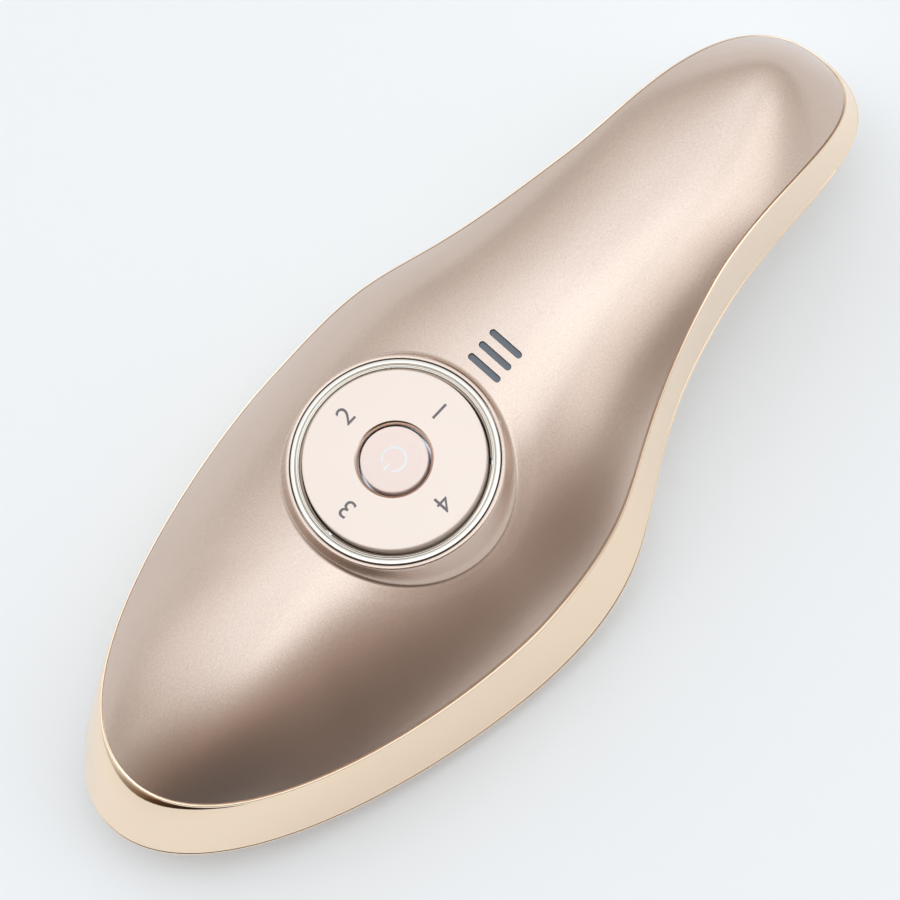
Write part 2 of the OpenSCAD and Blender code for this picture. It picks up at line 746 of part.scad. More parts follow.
module base() {
    color([0.90, 0.86, 0.82])
    difference() {
        union() {
            difference() {
                base_shell();
                translate([0, 0, seat_z])
                    cylinder(r = head_pocket_r, h = 8);
                translate([0, 0, -2])
                    cylinder(r = opening_r + 1, h = 10);
            }
            head_collar();
            around(ear_circle_r, ear_angles)
                translate([0, 0, seat_z - ear_boss_sink])
                    cylinder(r = ear_r, h = seal_t + ear_boss_sink, $fn = 32);
            for (s = case_screws_at)
                translate([s[0], 0, base_mid_z(s[0]) + 0.8 * base_wall])
                    cylinder(r = case_foot_r, h = s[1] - base_mid_z(s[0]) - 0.8 * base_wall, $fn = 32);
            for (x = [tray_x + tray_post_in, tray_x + tray_l - tray_post_in])
                for (side = [-1, 1])
                    translate([x, side * tray_post_y, belly_z(x) + 0.9 * base_wall])
                        cylinder(r = tray_post_r, h = tray_z - belly_z(x) - 0.9 * base_wall, $fn = 32);
            translate([socket_x, 0, belly_z(socket_x) + 0.7 * base_wall])
                cylinder(r = socket_boss_r, h = socket_z - belly_z(socket_x) - 0.7 * base_wall);
        }
        around(ear_circle_r, ear_angles)
            translate([0, 0, head_flange_z - 2])
                cylinder(r = small_screw_r, h = 4, $fn = 24);
        for (s = case_screws_at)
            translate([s[0], 0, base_mid_z(s[0])]) {
                translate([0, 0, -4])
                    cylinder(r = screw_head_r + 0.15, h = 4 + case_head_z + screw_head_h, $fn = 32);
                cylinder(r = screw_r + 0.1, h = s[1], $fn = 32);
            }
        translate([socket_x, 0, 0]) {
            cylinder(r = socket_recess_r, h = socket_floor_z);
            cylinder(r = socket_nose_r + 0.1, h = socket_z + 1);
        }
    }
}

module case_screws() {
    color([0.62, 0.62, 0.64])
    for (s = case_screws_at)
        translate([s[0], 0, base_mid_z(s[0]) + case_head_z])
            screw(screw_head_r, screw_head_h, screw_r - 0.05,
                s[1] + case_reach - base_mid_z(s[0]) - case_head_z - screw_head_h - 0.5);
}

// ---- Sub-parts: treatment head ----

module head_seal() {
    color([0.25, 0.25, 0.26])
    translate([0, 0, seat_z])
        ring(opening_r + 2, opening_r + 0.3, seal_t);
}

module electrode_groove(radius) {
    translate([0, 0, head_face_z - 1])
        ring(radius + electrode_w / 2, radius - electrode_w / 2, 1 + electrode_depth);
}

module head_insulator() {
    color([0.95, 0.94, 0.92])
    difference() {
        union() {
            rotate_extrude()
                polygon([[cool_r + 0.1, head_face_z], [head_r - 0.5, head_face_z],
                    [head_r, head_face_z + 0.5], [head_r, head_flange_z], [head_flange_r, head_flange_z],
                    [head_flange_r, head_top_z], [cool_r + cool_flange_w + 0.1, head_top_z],
                    [cool_r + cool_flange_w + 0.1, cool_t - cool_flange_t],
                    [cool_r + 0.1, cool_t - cool_flange_t]]);
            around(ear_circle_r, ear_angles)
                translate([0, 0, head_flange_z])
                    cylinder(r = ear_r, h = ear_t, $fn = 32);
            for (sx = [-1, 1])
                for (sy = [-1, 1])
                    translate([sx * sink_post_x, sy * sink_post_y, head_top_z - 1])
                        cylinder(r = sink_post_r, h = sink_z - head_top_z + 1, $fn = 32);
        }
        electrode_groove(inner_electrode_r);
        electrode_groove(outer_electrode_r);
        around(ear_circle_r, ear_angles)
            translate([0, 0, head_flange_z - 1])
                cylinder(r = small_screw_r + 0.1, h = ear_t + 2, $fn = 24);
        for (sx = [-1, 1])
            for (sy = [-1, 1])
                translate([sx * sink_post_x, sy * sink_post_y, sink_z - 3])
                    cylinder(r = small_screw_r, h = 4, $fn = 24);
    }
}

// Electrode ring with a rounded contact face
module electrode(radius) {
    edge = 0.3;
    color([0.86, 0.84, 0.80])
    rotate_extrude()
        polygon([[radius - electrode_w / 2 + edge, 0], [radius + electrode_w / 2 - edge, 0],
            [radius + electrode_w / 2, edge], [radius + electrode_w / 2, electrode_h + electrode_depth],
            [radius - electrode_w / 2, electrode_h + electrode_depth], [radius - electrode_w / 2, edge]]);
}

module inner_electrode() {
    electrode(inner_electrode_r);
}

module outer_electrode() {
    electrode(outer_electrode_r);
}

module cooling_plate() {
    edge = 0.4;
    color([0.82, 0.83, 0.84])
    rotate_extrude()
        polygon([[0, 0], [cool_r - edge, 0], [cool_r, edge], [cool_r, cool_t - cool_flange_t],
            [cool_r + cool_flange_w, cool_t - cool_flange_t], [cool_r + cool_flange_w, cool_t], [0, cool_t]]);
}

// Two ceramic plates with a row of thermoelectric legs between them
module peltier_module() {
    plate = 0.8;
    legs = 5;
    leg_w = 1.8;
    pitch = (peltier_w - 2) / legs;
    color([0.93, 0.93, 0.90])
    translate([-peltier_w / 2, -peltier_w / 2, cool_t]) {
        cube([peltier_w, peltier_w, plate]);
        translate([0, 0, peltier_t - plate])
            cube([peltier_w, peltier_w, plate]);
        for (i = [0:legs - 1])
            for (j = [0:legs - 1])
                translate([1 + (i + 0.5) * pitch - leg_w / 2, 1 + (j + 0.5) * pitch - leg_w / 2, plate / 2])
                    cube([leg_w, leg_w, peltier_t - plate]);
    }
}

module heat_sink() {
    fin_pitch = (sink_w - fin_t) / (fin_count - 1);
    bay = 3;
    color([0.60, 0.62, 0.65])
    difference() {
        translate([-sink_l / 2, -sink_w / 2, sink_z]) {
            cube([sink_l, sink_w, sink_plate_t]);
            for (i = [0:fin_count - 1])
                translate([0, i * fin_pitch, sink_plate_t])
                    cube([sink_l, fin_t, fin_h]);
        }
        for (sx = [-1, 1])
            for (sy = [-1, 1])
                translate([sx * sink_post_x, sy * sink_post_y, sink_z - 1]) {
                    cylinder(r = small_screw_r + 0.15, h = sink_plate_t + 2, $fn = 24);
                    translate([0, 0, 1 + sink_plate_t])
                        cylinder(r = bay, h = fin_h + 1, $fn = 32);
                }
    }
}

// ---- Sub-parts: mode pad and its gimbal ----

module bezel_ring() {
    dish = 0.55;
    rim_in_r = bezel_out_r - 0.45;
    step_r = bezel_in_r + 0.6;
    dish_mid_r = (rim_in_r + step_r) / 2;
    color([0.88, 0.85, 0.80])
    difference() {
        rotate_extrude()
            polygon(concat(
                [[bezel_in_r, bezel_seat_z], [bezel_out_r, bezel_seat_z],
                    [bezel_out_r, boss_top_z], [bezel_out_r - 0.12, boss_top_z + 0.12]],
                [for (i = [0:6]) let(r = rim_in_r + (step_r - rim_in_r) * i / 6)
                    [r, boss_top_z + 0.12 - 0.1 * i / 6
                        - dish * (1 - pow((r - dish_mid_r) / (rim_in_r - dish_mid_r), 2))]],
                [[bezel_in_r + 0.45, bezel_lip_z + 0.2], [bezel_in_r, bezel_lip_z]]));
        around(bezel_in_r, [180, notch_angle, -notch_angle])
            translate([-0.5, -notch_w / 2, bezel_lip_z - 1.2])
                cube([1, notch_w, 3]);
    }
}

module mode_pad() {
    edge = 0.3;
    color([0.95, 0.88, 0.84])
    difference() {
        union() {
            rotate_extrude()
                polygon([[pad_hole_r, pad_low_z], [pad_hole_r, pad_top_z - pad_hole_bevel],
                    [pad_hole_r + pad_hole_bevel, pad_top_z], [pad_r - edge, pad_top_z],
                    [pad_r - 0.3 * edge, pad_top_z - 0.3 * edge], [pad_r, pad_top_z - edge],
                    [pad_r, pad_top_z - pad_skirt_h], [pad_r - pad_skirt_w, pad_top_z - pad_skirt_h],
                    [pad_r - pad_skirt_w, pad_low_z]]);
            translate([0, 0, hub_low_z])
                ring(hub_out_r, hub_in_r, pad_low_z - hub_low_z + 0.5);
        }
        translate([0, 0, pivot_z])
            for (side = [0, 180])
                rotate([0, 0, side])
                    spoke(bore_r, hub_in_r - 1, hub_out_r + 1);
    }
}

module gimbal_ring() {
    color([0.72, 0.72, 0.74])
    translate([0, 0, pivot_z]) {
        difference() {
            translate([0, 0, -gimbal_h / 2])
                ring(gimbal_out_r, gimbal_in_r, gimbal_h);
            for (side = [90, 270])
                rotate([0, 0, side])
                    spoke(bore_r, gimbal_in_r - 1, gimbal_out_r + 1);
        }
        for (side = [0, 180])
            rotate([0, 0, side])
                spoke(trunnion_r, (gimbal_in_r + gimbal_out_r) / 2, hub_out_r - 0.1);
    }
}

// Fixed frame under the pad: cup, flange, guide post with two trunnion pins and plunger guides
module mode_frame() {
    color([0.30, 0.31, 0.33])
    difference() {
        union() {
            translate([0, 0, frame_low_z])
                cylinder(r = frame_out_r, h = frame_floor_t);
            translate([0, 0, frame_low_z])
                ring(frame_out_r, frame_out_r - frame_wall, frame_top_z - frame_low_z);
            translate([0, 0, ledge_low_z - frame_flange_t])
                ring(flange_r, frame_out_r - 0.5, frame_flange_t);
            translate([0, 0, frame_low_z])
                cylinder(r = post_r, h = post_top_z - frame_low_z);
            translate([0, 0, pivot_z])
                for (side = [90, 270])
                    rotate([0, 0, side])
                        spoke(trunnion_r, post_r - 1, gimbal_out_r - 0.1);
            around(plunger_circle_r, [0:90:270])
                translate([0, 0, frame_low_z - 0.6])
                    cylinder(r = guide_r, h = frame_floor_t + 1.1, $fn = 32);
            around(post_circle_r, [45:90:315])
                translate([0, 0, switch_board_z + board_t])
                    cylinder(r = stand_r, h = frame_low_z - switch_board_z - board_t + 0.5, $fn = 32);
        }
        around(plunger_circle_r, [0:90:270])
            translate([0, 0, frame_low_z - 2])
                cylinder(r = plunger_r + running_gap, h = frame_floor_t + 6, $fn = 48);
        translate([0, 0, frame_low_z - 1])
            cylinder(r = button_stem_r + running_gap, h = post_top_z - frame_low_z + 2);
        around(post_circle_r, [45:90:315])
            translate([0, 0, switch_board_z])
                cylinder(r = small_screw_r, h = board_t + 3.2, $fn = 24);
        around(frame_screw_circle_r, frame_screw_angles)
            translate([0, 0, ledge_low_z - frame_flange_t - 1])
                cylinder(r = small_screw_r + 0.1, h = frame_flange_t + 2, $fn = 24);
    }
}

// Plunger at one of the four sides of the pad, with the stem that enters its switch
module mode_plunger(angle) {
    dome = 0.5;
    color([0.85, 0.85, 0.83])
    rotate([0, 0, angle])
        translate([plunger_circle_r, 0, 0])
            rotate_extrude($fn = 48)
                polygon(concat(
                    [[0, switch_top_z - stem_depth], [switch_stem_r, switch_top_z - stem_depth],
                        [switch_stem_r, plunger_low_z], [plunger_r, plunger_low_z]],
                    [for (i = [0:4]) [plunger_r * cos(i * 22.5), plunger_top_z - dome + dome * sin(i * 22.5)]]));
}

module plunger_front() {
    mode_plunger(180);
}

module plunger_rear() {
    mode_plunger(0);
}

module plunger_left() {
    mode_plunger(90);
}

module plunger_right() {
    mode_plunger(270);
}

// ---- Sub-parts: power button and switches ----

module power_button() {
    edge = 0.35;
    color([0.96, 0.89, 0.87])
    rotate_extrude()
        polygon([[0, button_low_z], [button_stem_r, button_low_z],
            [button_stem_r, pad_top_z - button_cap_h], [button_r, pad_top_z - button_cap_h],
            [button_r, pad_top_z - edge], [button_r - 0.3 * edge, pad_top_z - 0.3 * edge],
            [button_r - edge, pad_top_z], [0, pad_top_z]]);
}

module power_stem() {
    color([0.85, 0.85, 0.83])
    translate([0, 0, switch_top_z - stem_depth])
        cylinder(r = switch_stem_r, h = stem_top_z - switch_top_z + stem_depth, $fn = 48);
}

module switch_body() {
    difference() {
        translate([-switch_w / 2, -switch_w / 2, switch_top_z - switch_h])
            cube([switch_w, switch_w, switch_h]);
        translate([0, 0, switch_top_z - switch_bore_d])
            cylinder(r = stem_bore_r, h = switch_bore_d + 1, $fn = 48);
    }
}

module switch_bodies() {
    color([0.18, 0.18, 0.19]) {
        around(plunger_circle_r, [0:90:270])
            switch_body();
        switch_body();
    }
}

module switch_board() {
    color([0.13, 0.38, 0.24])
    difference() {
        translate([0, 0, switch_board_z])
            cylinder(r = switch_board_r, h = board_t);
        around(post_circle_r, [45:90:315])
            translate([0, 0, switch_board_z - 1])
                cylinder(r = small_screw_r + 0.1, h = board_t + 2, $fn = 24);
    }
}

// Small screws of the head, the frame, the heat sink and the boards
module small_screws() {
    color([0.62, 0.62, 0.64]) {
        around(frame_screw_circle_r, frame_screw_angles)
            translate([0, 0, ledge_low_z - frame_flange_t - small_head_h])
                screw(small_head_r, small_head_h, small_screw_r - 0.05, frame_flange_t + frame_screw_bite);
        around(post_circle_r, [45:90:315])
            translate([0, 0, switch_board_z - small_head_h])
                screw(small_head_r, small_head_h, small_screw_r - 0.05, board_t + 2.8);
        around(ear_circle_r, ear_angles)
            translate([0, 0, head_flange_z + ear_t + small_head_h])
                rotate([180, 0, 0])
                    screw(small_head_r, small_head_h, small_screw_r - 0.05, ear_t + 1.6);
        for (sx = [-1, 1])
            for (sy = [-1, 1])
                translate([sx * sink_post_x, sy * sink_post_y, sink_z + sink_plate_t + small_head_h])
                    rotate([180, 0, 0])
                        screw(small_head_r, small_head_h, small_screw_r - 0.05, sink_plate_t + 2.6);
        for (x = [tray_x + pillar_in, tray_x + tray_l - pillar_in])
            for (side = [-1, 1])
                translate([x, side * pillar_y, main_board_z + board_t + small_head_h])
                    rotate([180, 0, 0])
                        screw(small_head_r, small_head_h, small_screw_r - 0.05, board_t + 3);
    }
}

// ---- Sub-parts: indicator ----

module indicator_lens() {
    leg = 1.4;
    color([0.36, 0.40, 0.45]) {
        translate([lens_plate_x, -lens_plate_w / 2, lens_plate_z])
            cube([lens_plate_l, lens_plate_w, lens_plate_t]);
        for (i = [0:slot_count - 1])
            translate([slot_first_x + i * slot_pitch, 0, lens_plate_z + 0.4])
                round_bar(slot_l - 2 * lens_gap, slot_w - 2 * lens_gap,
                    crown_z(slot_first_x + i * slot_pitch) - lens_sink - lens_plate_z - 0.4);
        for (side = [-1, 1])
            translate([lens_plate_x + 1.2, side * (lens_plate_w - leg) / 2 - leg / 2, indicator_board_z + 1])
                cube([lens_plate_l - 2, leg, lens_plate_z - indicator_board_z - 0.6]);
    }
}

indicator_board_z = lens_plate_z - 2.8;
indicator_board_x = boss_skirt_r + 0.25;

module indicator_board() {
    color([0.13, 0.38, 0.24])
    translate([indicator_board_x, -lens_plate_w / 2, indicator_board_z])
        cube([lens_plate_x + lens_plate_l - indicator_board_x, lens_plate_w, 1]);
}

module indicator_leds() {
    led = [1, 2, 0.9];
    color([0.92, 0.92, 0.86])
    indicator_places()
        translate([-led[0] / 2, -led[1] / 2, indicator_board_z + 1])
            cube(led);
}

// ---- Sub-parts: power supply in the handle ----

module battery_tray() {
    color([0.30, 0.31, 0.33])
    difference() {
        union() {
            translate([tray_x, -battery_w / 2 - tray_wall, tray_z])
                cube([tray_l, battery_w + 2 * tray_wall, tray_wall]);
            for (side = [-1, 1])
                translate([tray_x, side * (battery_w + tray_wall) / 2 - tray_wall / 2, tray_z])
                    cube([tray_l, tray_wall, tray_h]);
            for (x = [tray_x + pillar_in, tray_x + tray_l - pillar_in])
                for (side = [-1, 1])
                    translate([x, side * pillar_y, tray_z])
                        cylinder(r = pillar_r, h = main_board_z - tray_z, $fn = 32);
        }
        for (x = [tray_x + pillar_in, tray_x + tray_l - pillar_in])
            for (side = [-1, 1])
                translate([x, side * pillar_y, main_board_z - 4])
                    cylinder(r = small_screw_r, h = 5, $fn = 24);
    }
}

// Pouch cell with rounded long edges
module battery() {
    round_r = 2;
    color([0.55, 0.60, 0.68])
    translate([battery_x, 0, battery_z]) {
        translate([0, -battery_w / 2 + round_r, 0])
            cube([battery_l, battery_w - 2 * round_r, battery_t]);
        translate([0, -battery_w / 2, round_r])
            cube([battery_l, battery_w, battery_t - 2 * round_r]);
        for (side = [-1, 1])
            for (z = [round_r, battery_t - round_r])
                translate([0, side * (battery_w / 2 - round_r), z])
                    rotate([0, 90, 0])
                        cylinder(r = round_r, h = battery_l, $fn = 32);
    }
}

module main_board() {
    color([0.13, 0.38, 0.24])
    difference() {
        translate([tray_x, 0, main_board_z]) {
            translate([0, -main_board_w / 2, 0])
                cube([tray_l, main_board_w, board_t]);
            translate([tray_l * 0.35, -4, board_t - 0.2])
                cube([8, 8, 1.2]);
            translate([tray_l * 0.65, -5, board_t - 0.2])
                cube([5, 6, 1.6]);
            translate([3.5, -4, board_t - 0.2])
                cube([4, 8, 2.2]);
        }
        for (x = [tray_x + pillar_in, tray_x + tray_l - pillar_in])
            for (side = [-1, 1])
                translate([x, side * pillar_y, main_board_z - 1])
                    cylinder(r = small_screw_r + 0.1, h = board_t + 2, $fn = 24);
    }
}

module charge_socket() {
    pin_l = socket_h - 3;
    color([0.16, 0.16, 0.17]) {
        difference() {
            union() {
                translate([socket_x - socket_w / 2, -socket_w / 2, socket_z])
                    cube([socket_w, socket_w, socket_h]);
                translate([socket_x, 0, socket_floor_z])
                    cylinder(r = socket_nose_r, h = socket_z - socket_floor_z + 1);
            }
            translate([socket_x, 0, socket_floor_z - 1])
                cylinder(r = socket_mouth_r, h = socket_h, $fn = 48);
        }
        translate([socket_x, 0, socket_floor_z + 1.5])
            cylinder(r = socket_pin_r, h = pin_l, $fn = 32);
    }
}

top_cover();
side_band();
base();
case_screws();
head_seal();
head_insulator();
inner_electrode();
outer_electrode();
cooling_plate();
peltier_module();
heat_sink();
bezel_ring();
mode_pad();
gimbal_ring();
mode_frame();
plunger_front();
plunger_rear();
plunger_left();
plunger_right();
power_button();
power_stem();
switch_bodies();
switch_board();
small_screws();
indicator_lens();
indicator_board();
indicator_leds();
battery_tray();
battery();
main_board();
charge_socket();
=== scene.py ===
# Looks of a handheld facial toning device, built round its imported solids.
# The origin is the centre of the treatment face, +X runs to the tail of the handle, +Z is up.
# Shapes are written in millimetres and made in metres.
from math import cos, pi, radians, sin

import bmesh
import bpy
import numpy as np
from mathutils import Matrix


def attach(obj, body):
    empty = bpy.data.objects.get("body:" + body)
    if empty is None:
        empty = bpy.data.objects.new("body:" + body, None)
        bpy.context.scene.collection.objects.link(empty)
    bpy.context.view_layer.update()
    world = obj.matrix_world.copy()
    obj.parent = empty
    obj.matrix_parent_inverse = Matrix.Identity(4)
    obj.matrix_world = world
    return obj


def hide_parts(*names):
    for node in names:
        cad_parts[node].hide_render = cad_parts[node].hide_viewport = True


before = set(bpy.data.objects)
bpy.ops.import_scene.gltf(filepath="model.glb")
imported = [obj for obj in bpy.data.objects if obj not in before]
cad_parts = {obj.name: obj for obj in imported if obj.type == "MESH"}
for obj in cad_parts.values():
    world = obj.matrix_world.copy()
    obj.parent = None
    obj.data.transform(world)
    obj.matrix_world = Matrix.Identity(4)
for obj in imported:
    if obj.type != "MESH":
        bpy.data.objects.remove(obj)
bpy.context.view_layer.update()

MM = 0.001

# ---- Outlines of the body ----

COLUMNS = 288
HALF = COLUMNS // 2
FINE_STEPS = 600
WAIST_X, WAIST_SLOPE = 66, 0.22
WIDEST_LEAD = 22.5
COVER = dict(front=76.6, front_pull=25.3, wide_x=-1.3, half_w=36.7, wide_pull=34, waist_w=19.4,
             waist_front=41, waist_back=20, tail=115.3, tail_pull=20.4)
RIM = dict(front=85.7, front_pull=28, wide_x=4.2, half_w=41.4, wide_pull=25, waist_w=20.3,
           waist_front=37, waist_back=26, tail=116.4, tail_pull=23.8)


def bezier(p, t):
    t = np.asarray(t, float)[:, None]
    p = np.asarray(p, float)
    return (1 - t) ** 3 * p[0] + 3 * (1 - t) ** 2 * t * p[1] + 3 * (1 - t) * t * t * p[2] + t ** 3 * p[3]


def leaf_side(steps, front, front_pull, wide_x, half_w, wide_pull, waist_w, waist_front, waist_back, tail,
              tail_pull):
    """One side of a leaf outline, from the front tip over the waist to the tail."""
    widest, waist = np.array([wide_x, half_w]), np.array([WAIST_X, waist_w])
    lean = np.array([1, -WAIST_SLOPE])
    t = np.arange(steps) / steps
    return np.vstack([
        bezier([[-front, 0], [-front, front_pull], widest - [WIDEST_LEAD, 0], widest], t),
        bezier([widest, widest + [wide_pull, 0], waist - waist_front * lean, waist], t),
        bezier([waist, waist + waist_back * lean, [tail, tail_pull], [tail, 0]], np.append(t, 1)),
    ])


def leaf(side):
    """The whole outline of a leaf from one of its sides."""
    return np.vstack([side, side[-2:0:-1] * [1, -1]])


def inset(ring, distance):
    """An outline moved inward by a distance."""
    run = np.roll(ring, -1, 0) - np.roll(ring, 1, 0)
    run /= np.linalg.norm(run, axis=1)[:, None]
    return ring + distance * np.c_[run[:, 1], -run[:, 0]]


cover_ring = leaf(leaf_side(HALF // 3, **COVER))
rim_ring = leaf(leaf_side(HALF // 3, **RIM))

# ---- Heights along the body ----


def ease(t):
    s = np.clip(t, 0, 1)
    return s * s * (3 - 2 * s)


def side_line(x, x_front, x_low, x_arch, x_tail, z_front, z_low, z_arch, z_tail):
    """Height along the body: parabolas to both ends and an S-curve between low place and arch."""
    front = z_low + (z_front - z_low) * ((x_low - x) / (x_low - x_front)) ** 2
    middle = z_low + (z_arch - z_low) * ease((x - x_low) / (x_arch - x_low))
    back = z_arch + (z_tail - z_arch) * ((x - x_arch) / (x_tail - x_arch)) ** 2
    return np.where(x < x_low, front, np.where(x < x_arch, middle, back))


# Both ends of the line along the middle from which the sections of cover and base run out
COVER_SPINE = (34.7 - COVER["front"], COVER["tail"] - 17.8)
BASE_SPINE = (40.7 - RIM["front"], RIM["tail"] - 18.4)
BELLY_FLAT_END, BELLY_ARCH = 27, 72
COVER_FULLNESS = 2.6
BASE_FULLNESS, EXTRA_AT_FACE = 2.4, 2.6
# Towards the head's end the cover is up to 1.2 mm fuller here than its solid
END_START, END_RUN = -20, 20
EXTRA_AT_END, END_ROLL = 0.35, 0.38


def seam_z(x):
    return side_line(x, x_front=-COVER["front"], x_low=-5, x_arch=77, x_tail=COVER["tail"],
                     z_front=27.1, z_low=21.2, z_arch=38.2, z_tail=22)


def rim_z(x):
    return side_line(x, x_front=-RIM["front"], x_low=-15, x_arch=55, x_tail=RIM["tail"],
                     z_front=13.9, z_low=4.2, z_arch=20.7, z_tail=18.6)


def crown_z(x):
    return side_line(x, x_front=COVER_SPINE[0], x_low=0, x_arch=50, x_tail=COVER_SPINE[1],
                     z_front=39.2, z_low=41.8, z_arch=45, z_tail=43)


def belly_z(x):
    return side_line(x, x_front=BASE_SPINE[0], x_low=BELLY_FLAT_END, x_arch=BELLY_ARCH, x_tail=BASE_SPINE[1],
                     z_front=0.8, z_low=0.8, z_arch=13.5, z_tail=13)


def base_power(x):
    """Fullness of the base's sections, greatest round the treatment face."""
    return BASE_FULLNESS + EXTRA_AT_FACE * (1 - ease((x - BELLY_FLAT_END) / (BELLY_ARCH - BELLY_FLAT_END)))


def spine_x(x, outline, spine):
    """Where on the spine the section starts that meets the outline at x."""
    front, tail = outline["front"], outline["tail"]
    return spine[0] + (x + front) / (tail + front) * (spine[1] - spine[0])


fine_side = leaf_side(FINE_STEPS, **COVER)
fine_spine = spine_x(fine_side[:, 0], COVER, COVER_SPINE)
fine_seam = seam_z(fine_side[:, 0])


def cover_z(p):
    """Height of the cover's surface over points of its plan, found along the outline by bisection."""
    x, y = p[:, 0], np.maximum(np.abs(p[:, 1]), 0.01)
    steps = np.arange(len(fine_side))
    low, high = np.full(len(x), 1e-3), np.full(len(x), len(steps) - 1 - 1e-3)
    for _ in range(40):
        s = (low + high) / 2
        edge_x, edge_y = np.interp(s, steps, fine_side[:, 0]), np.interp(s, steps, fine_side[:, 1])
        foot = np.interp(s, steps, fine_spine)
        ahead = foot + y / edge_y * (edge_x - foot) > x
        low, high = np.where(ahead, low, s), np.where(ahead, s, high)
    reach = y / edge_y
    seam = np.interp(s, steps, fine_seam)
    front = ease((END_START - foot) / END_RUN)
    fall = 1 - np.clip(reach, 0, 1) ** (COVER_FULLNESS + EXTRA_AT_END * front)
    return seam + (crown_z(x) - seam) * fall * (1 + END_ROLL * front * (1 - fall))


# ---- Making meshes ----

DOUBLES = 1e-6
TURN_STEPS = 192
WIDE_SIDES, ROD_SIDES = 128, 64


def deselect():
    bpy.ops.object.select_all(action="DESELECT")


def active(piece):
    deselect()
    piece.select_set(True)
    bpy.context.view_layer.objects.active = piece


def tidy(piece):
    """Merges doubles and turns all faces outwards."""
    active(piece)
    bpy.ops.object.mode_set(mode="EDIT")
    bpy.ops.mesh.select_all(action="SELECT")
    bpy.ops.mesh.remove_doubles(threshold=DOUBLES)
    bpy.ops.mesh.normals_make_consistent(inside=False)
    bpy.ops.object.mode_set(mode="OBJECT")


def smooth(piece, angle):
    active(piece)
    bpy.ops.object.shade_smooth_by_angle(angle=radians(angle))


def rings_piece(name, rings, closed=True):
    """A skin through rings of points, the last joined to the first where it is closed."""
    count = len(rings[0])
    mesh = bpy.data.meshes.new(name)
    faces = []
    for k in range(len(rings) if closed else len(rings) - 1):
        a, b = k * count, (k + 1) % len(rings) * count
        faces += [(a + i, a + (i + 1) % count, b + (i + 1) % count, b + i) for i in range(count)]
    mesh.from_pydata((np.vstack(rings) * MM).tolist(), [], faces)
    piece = bpy.data.objects.new(name, mesh)
    bpy.context.scene.collection.objects.link(piece)
    tidy(piece)
    return piece


def turned(name, profile, steps=TURN_STEPS):
    """A piece turned on the pad axis from a closed profile of radii and heights."""
    deselect()
    bpy.ops.mesh.primitive_circle_add(vertices=len(profile), radius=1)
    piece = bpy.context.object
    piece.name = name
    for vertex, (r, z) in zip(piece.data.vertices, profile):
        vertex.co = (r * MM, 0, z * MM)
    bpy.ops.object.mode_set(mode="EDIT")
    bpy.ops.mesh.select_all(action="SELECT")
    bpy.ops.mesh.spin(steps=steps, angle=2 * pi, center=(0, 0, 0), axis=(0, 0, 1))
    bpy.ops.object.mode_set(mode="OBJECT")
    tidy(piece)
    return piece


def rod(radius, low, high, x=0.0, sides=ROD_SIDES):
    """An upright rod between two heights."""
    deselect()
    bpy.ops.mesh.primitive_cylinder_add(vertices=sides, radius=radius * MM, depth=(high - low) * MM,
                                        location=(x * MM, 0, (low + high) / 2 * MM))
    bpy.ops.object.transform_apply(location=True, rotation=True, scale=True)
    return bpy.context.object


def combined(piece, other, operation):
    """Cuts another piece out of this one, or joins it on, and removes the other."""
    active(piece)
    modifier = piece.modifiers.new("Boolean", "BOOLEAN")
    modifier.object, modifier.operation, modifier.solver = other, operation, "EXACT"
    bpy.ops.object.modifier_apply(modifier=modifier.name)
    bpy.data.objects.remove(other)


def joined(name, pieces):
    """Several pieces made one."""
    deselect()
    for piece in pieces:
        piece.select_set(True)
    bpy.context.view_layer.objects.active = pieces[0]
    bpy.ops.object.join()
    whole = bpy.context.object
    whole.name = name
    return whole


def arc(centre, radius, start, end, count):
    """Points of radius and height on an arc of a profile, angles in degrees."""
    return [(centre[0] + radius * cos(radians(a)), centre[1] + radius * sin(radians(a)))
            for a in np.linspace(start, end, count)]


def dish(r_out, r_in, z, depth, count):
    """A shallow hollow between two radii of a profile."""
    middle, half = (r_out + r_in) / 2, (r_out - r_in) / 2
    return [(r, z - depth * (1 - ((r - middle) / half) ** 2)) for r in np.linspace(r_out, r_in, count)]


# ---- Top cover with its round boss ----

BORE_R, BOSS_TOP = 20.1, 43.6
LEDGE_R, LEDGE_LOW, SEAT_Z = 18.5, 38.4, 40.6
FRAME_R, SKIRT_R, SKIRT_LOW = 21.2, 23.4, 34.2
ROUND_CENTRE, ROUND_R, ROUND_END = (20.5, 43.15), 0.45, 21
FLANK_START = (ROUND_CENTRE[0] + ROUND_R * cos(radians(ROUND_END)),
               ROUND_CENTRE[1] + ROUND_R * sin(radians(ROUND_END)))
FLANK_STEEPNESS, EXTRA_AT_SIDES = 2.6, 1.6
FILLET = 2.2
APRON_R, THROAT_R = 25.8, 24.0
SEAM_GAP, EDGE_ROUND, EDGE_ZONE, EDGE_DEPTH = 0.2, 0.3, 1.8, 0.75
LIP_IN, LINING_IN, COVER_WALL = 2.4, 2.6, 2.3
SLOT_PLACES = (24.3, 27.3, 30.3)
SLOT_R, SLOT_REACH, SLOT_LOW, SLOT_HIGH = 0.68, 3.32, 36, 44

turn = pi * (1 - np.arange(COLUMNS) / HALF)
ray = np.c_[np.cos(turn), np.sin(turn)]
FLANK_SLOPE = FLANK_STEEPNESS + EXTRA_AT_SIDES * np.sin(turn) ** 2


def level(ring, z):
    """An outline at a height, or at a height for each of its points."""
    return np.c_[ring, np.broadcast_to(z, len(ring))]


def circle(r, z):
    return level(ray * r, z)


def under_cover(plan, depth=0):
    """An outline laid on the cover's surface, or at a depth under it."""
    return level(plan, cover_z(plan) - depth)


def flank_z(r):
    return FLANK_START[1] - (r - FLANK_START[0]) * FLANK_SLOPE


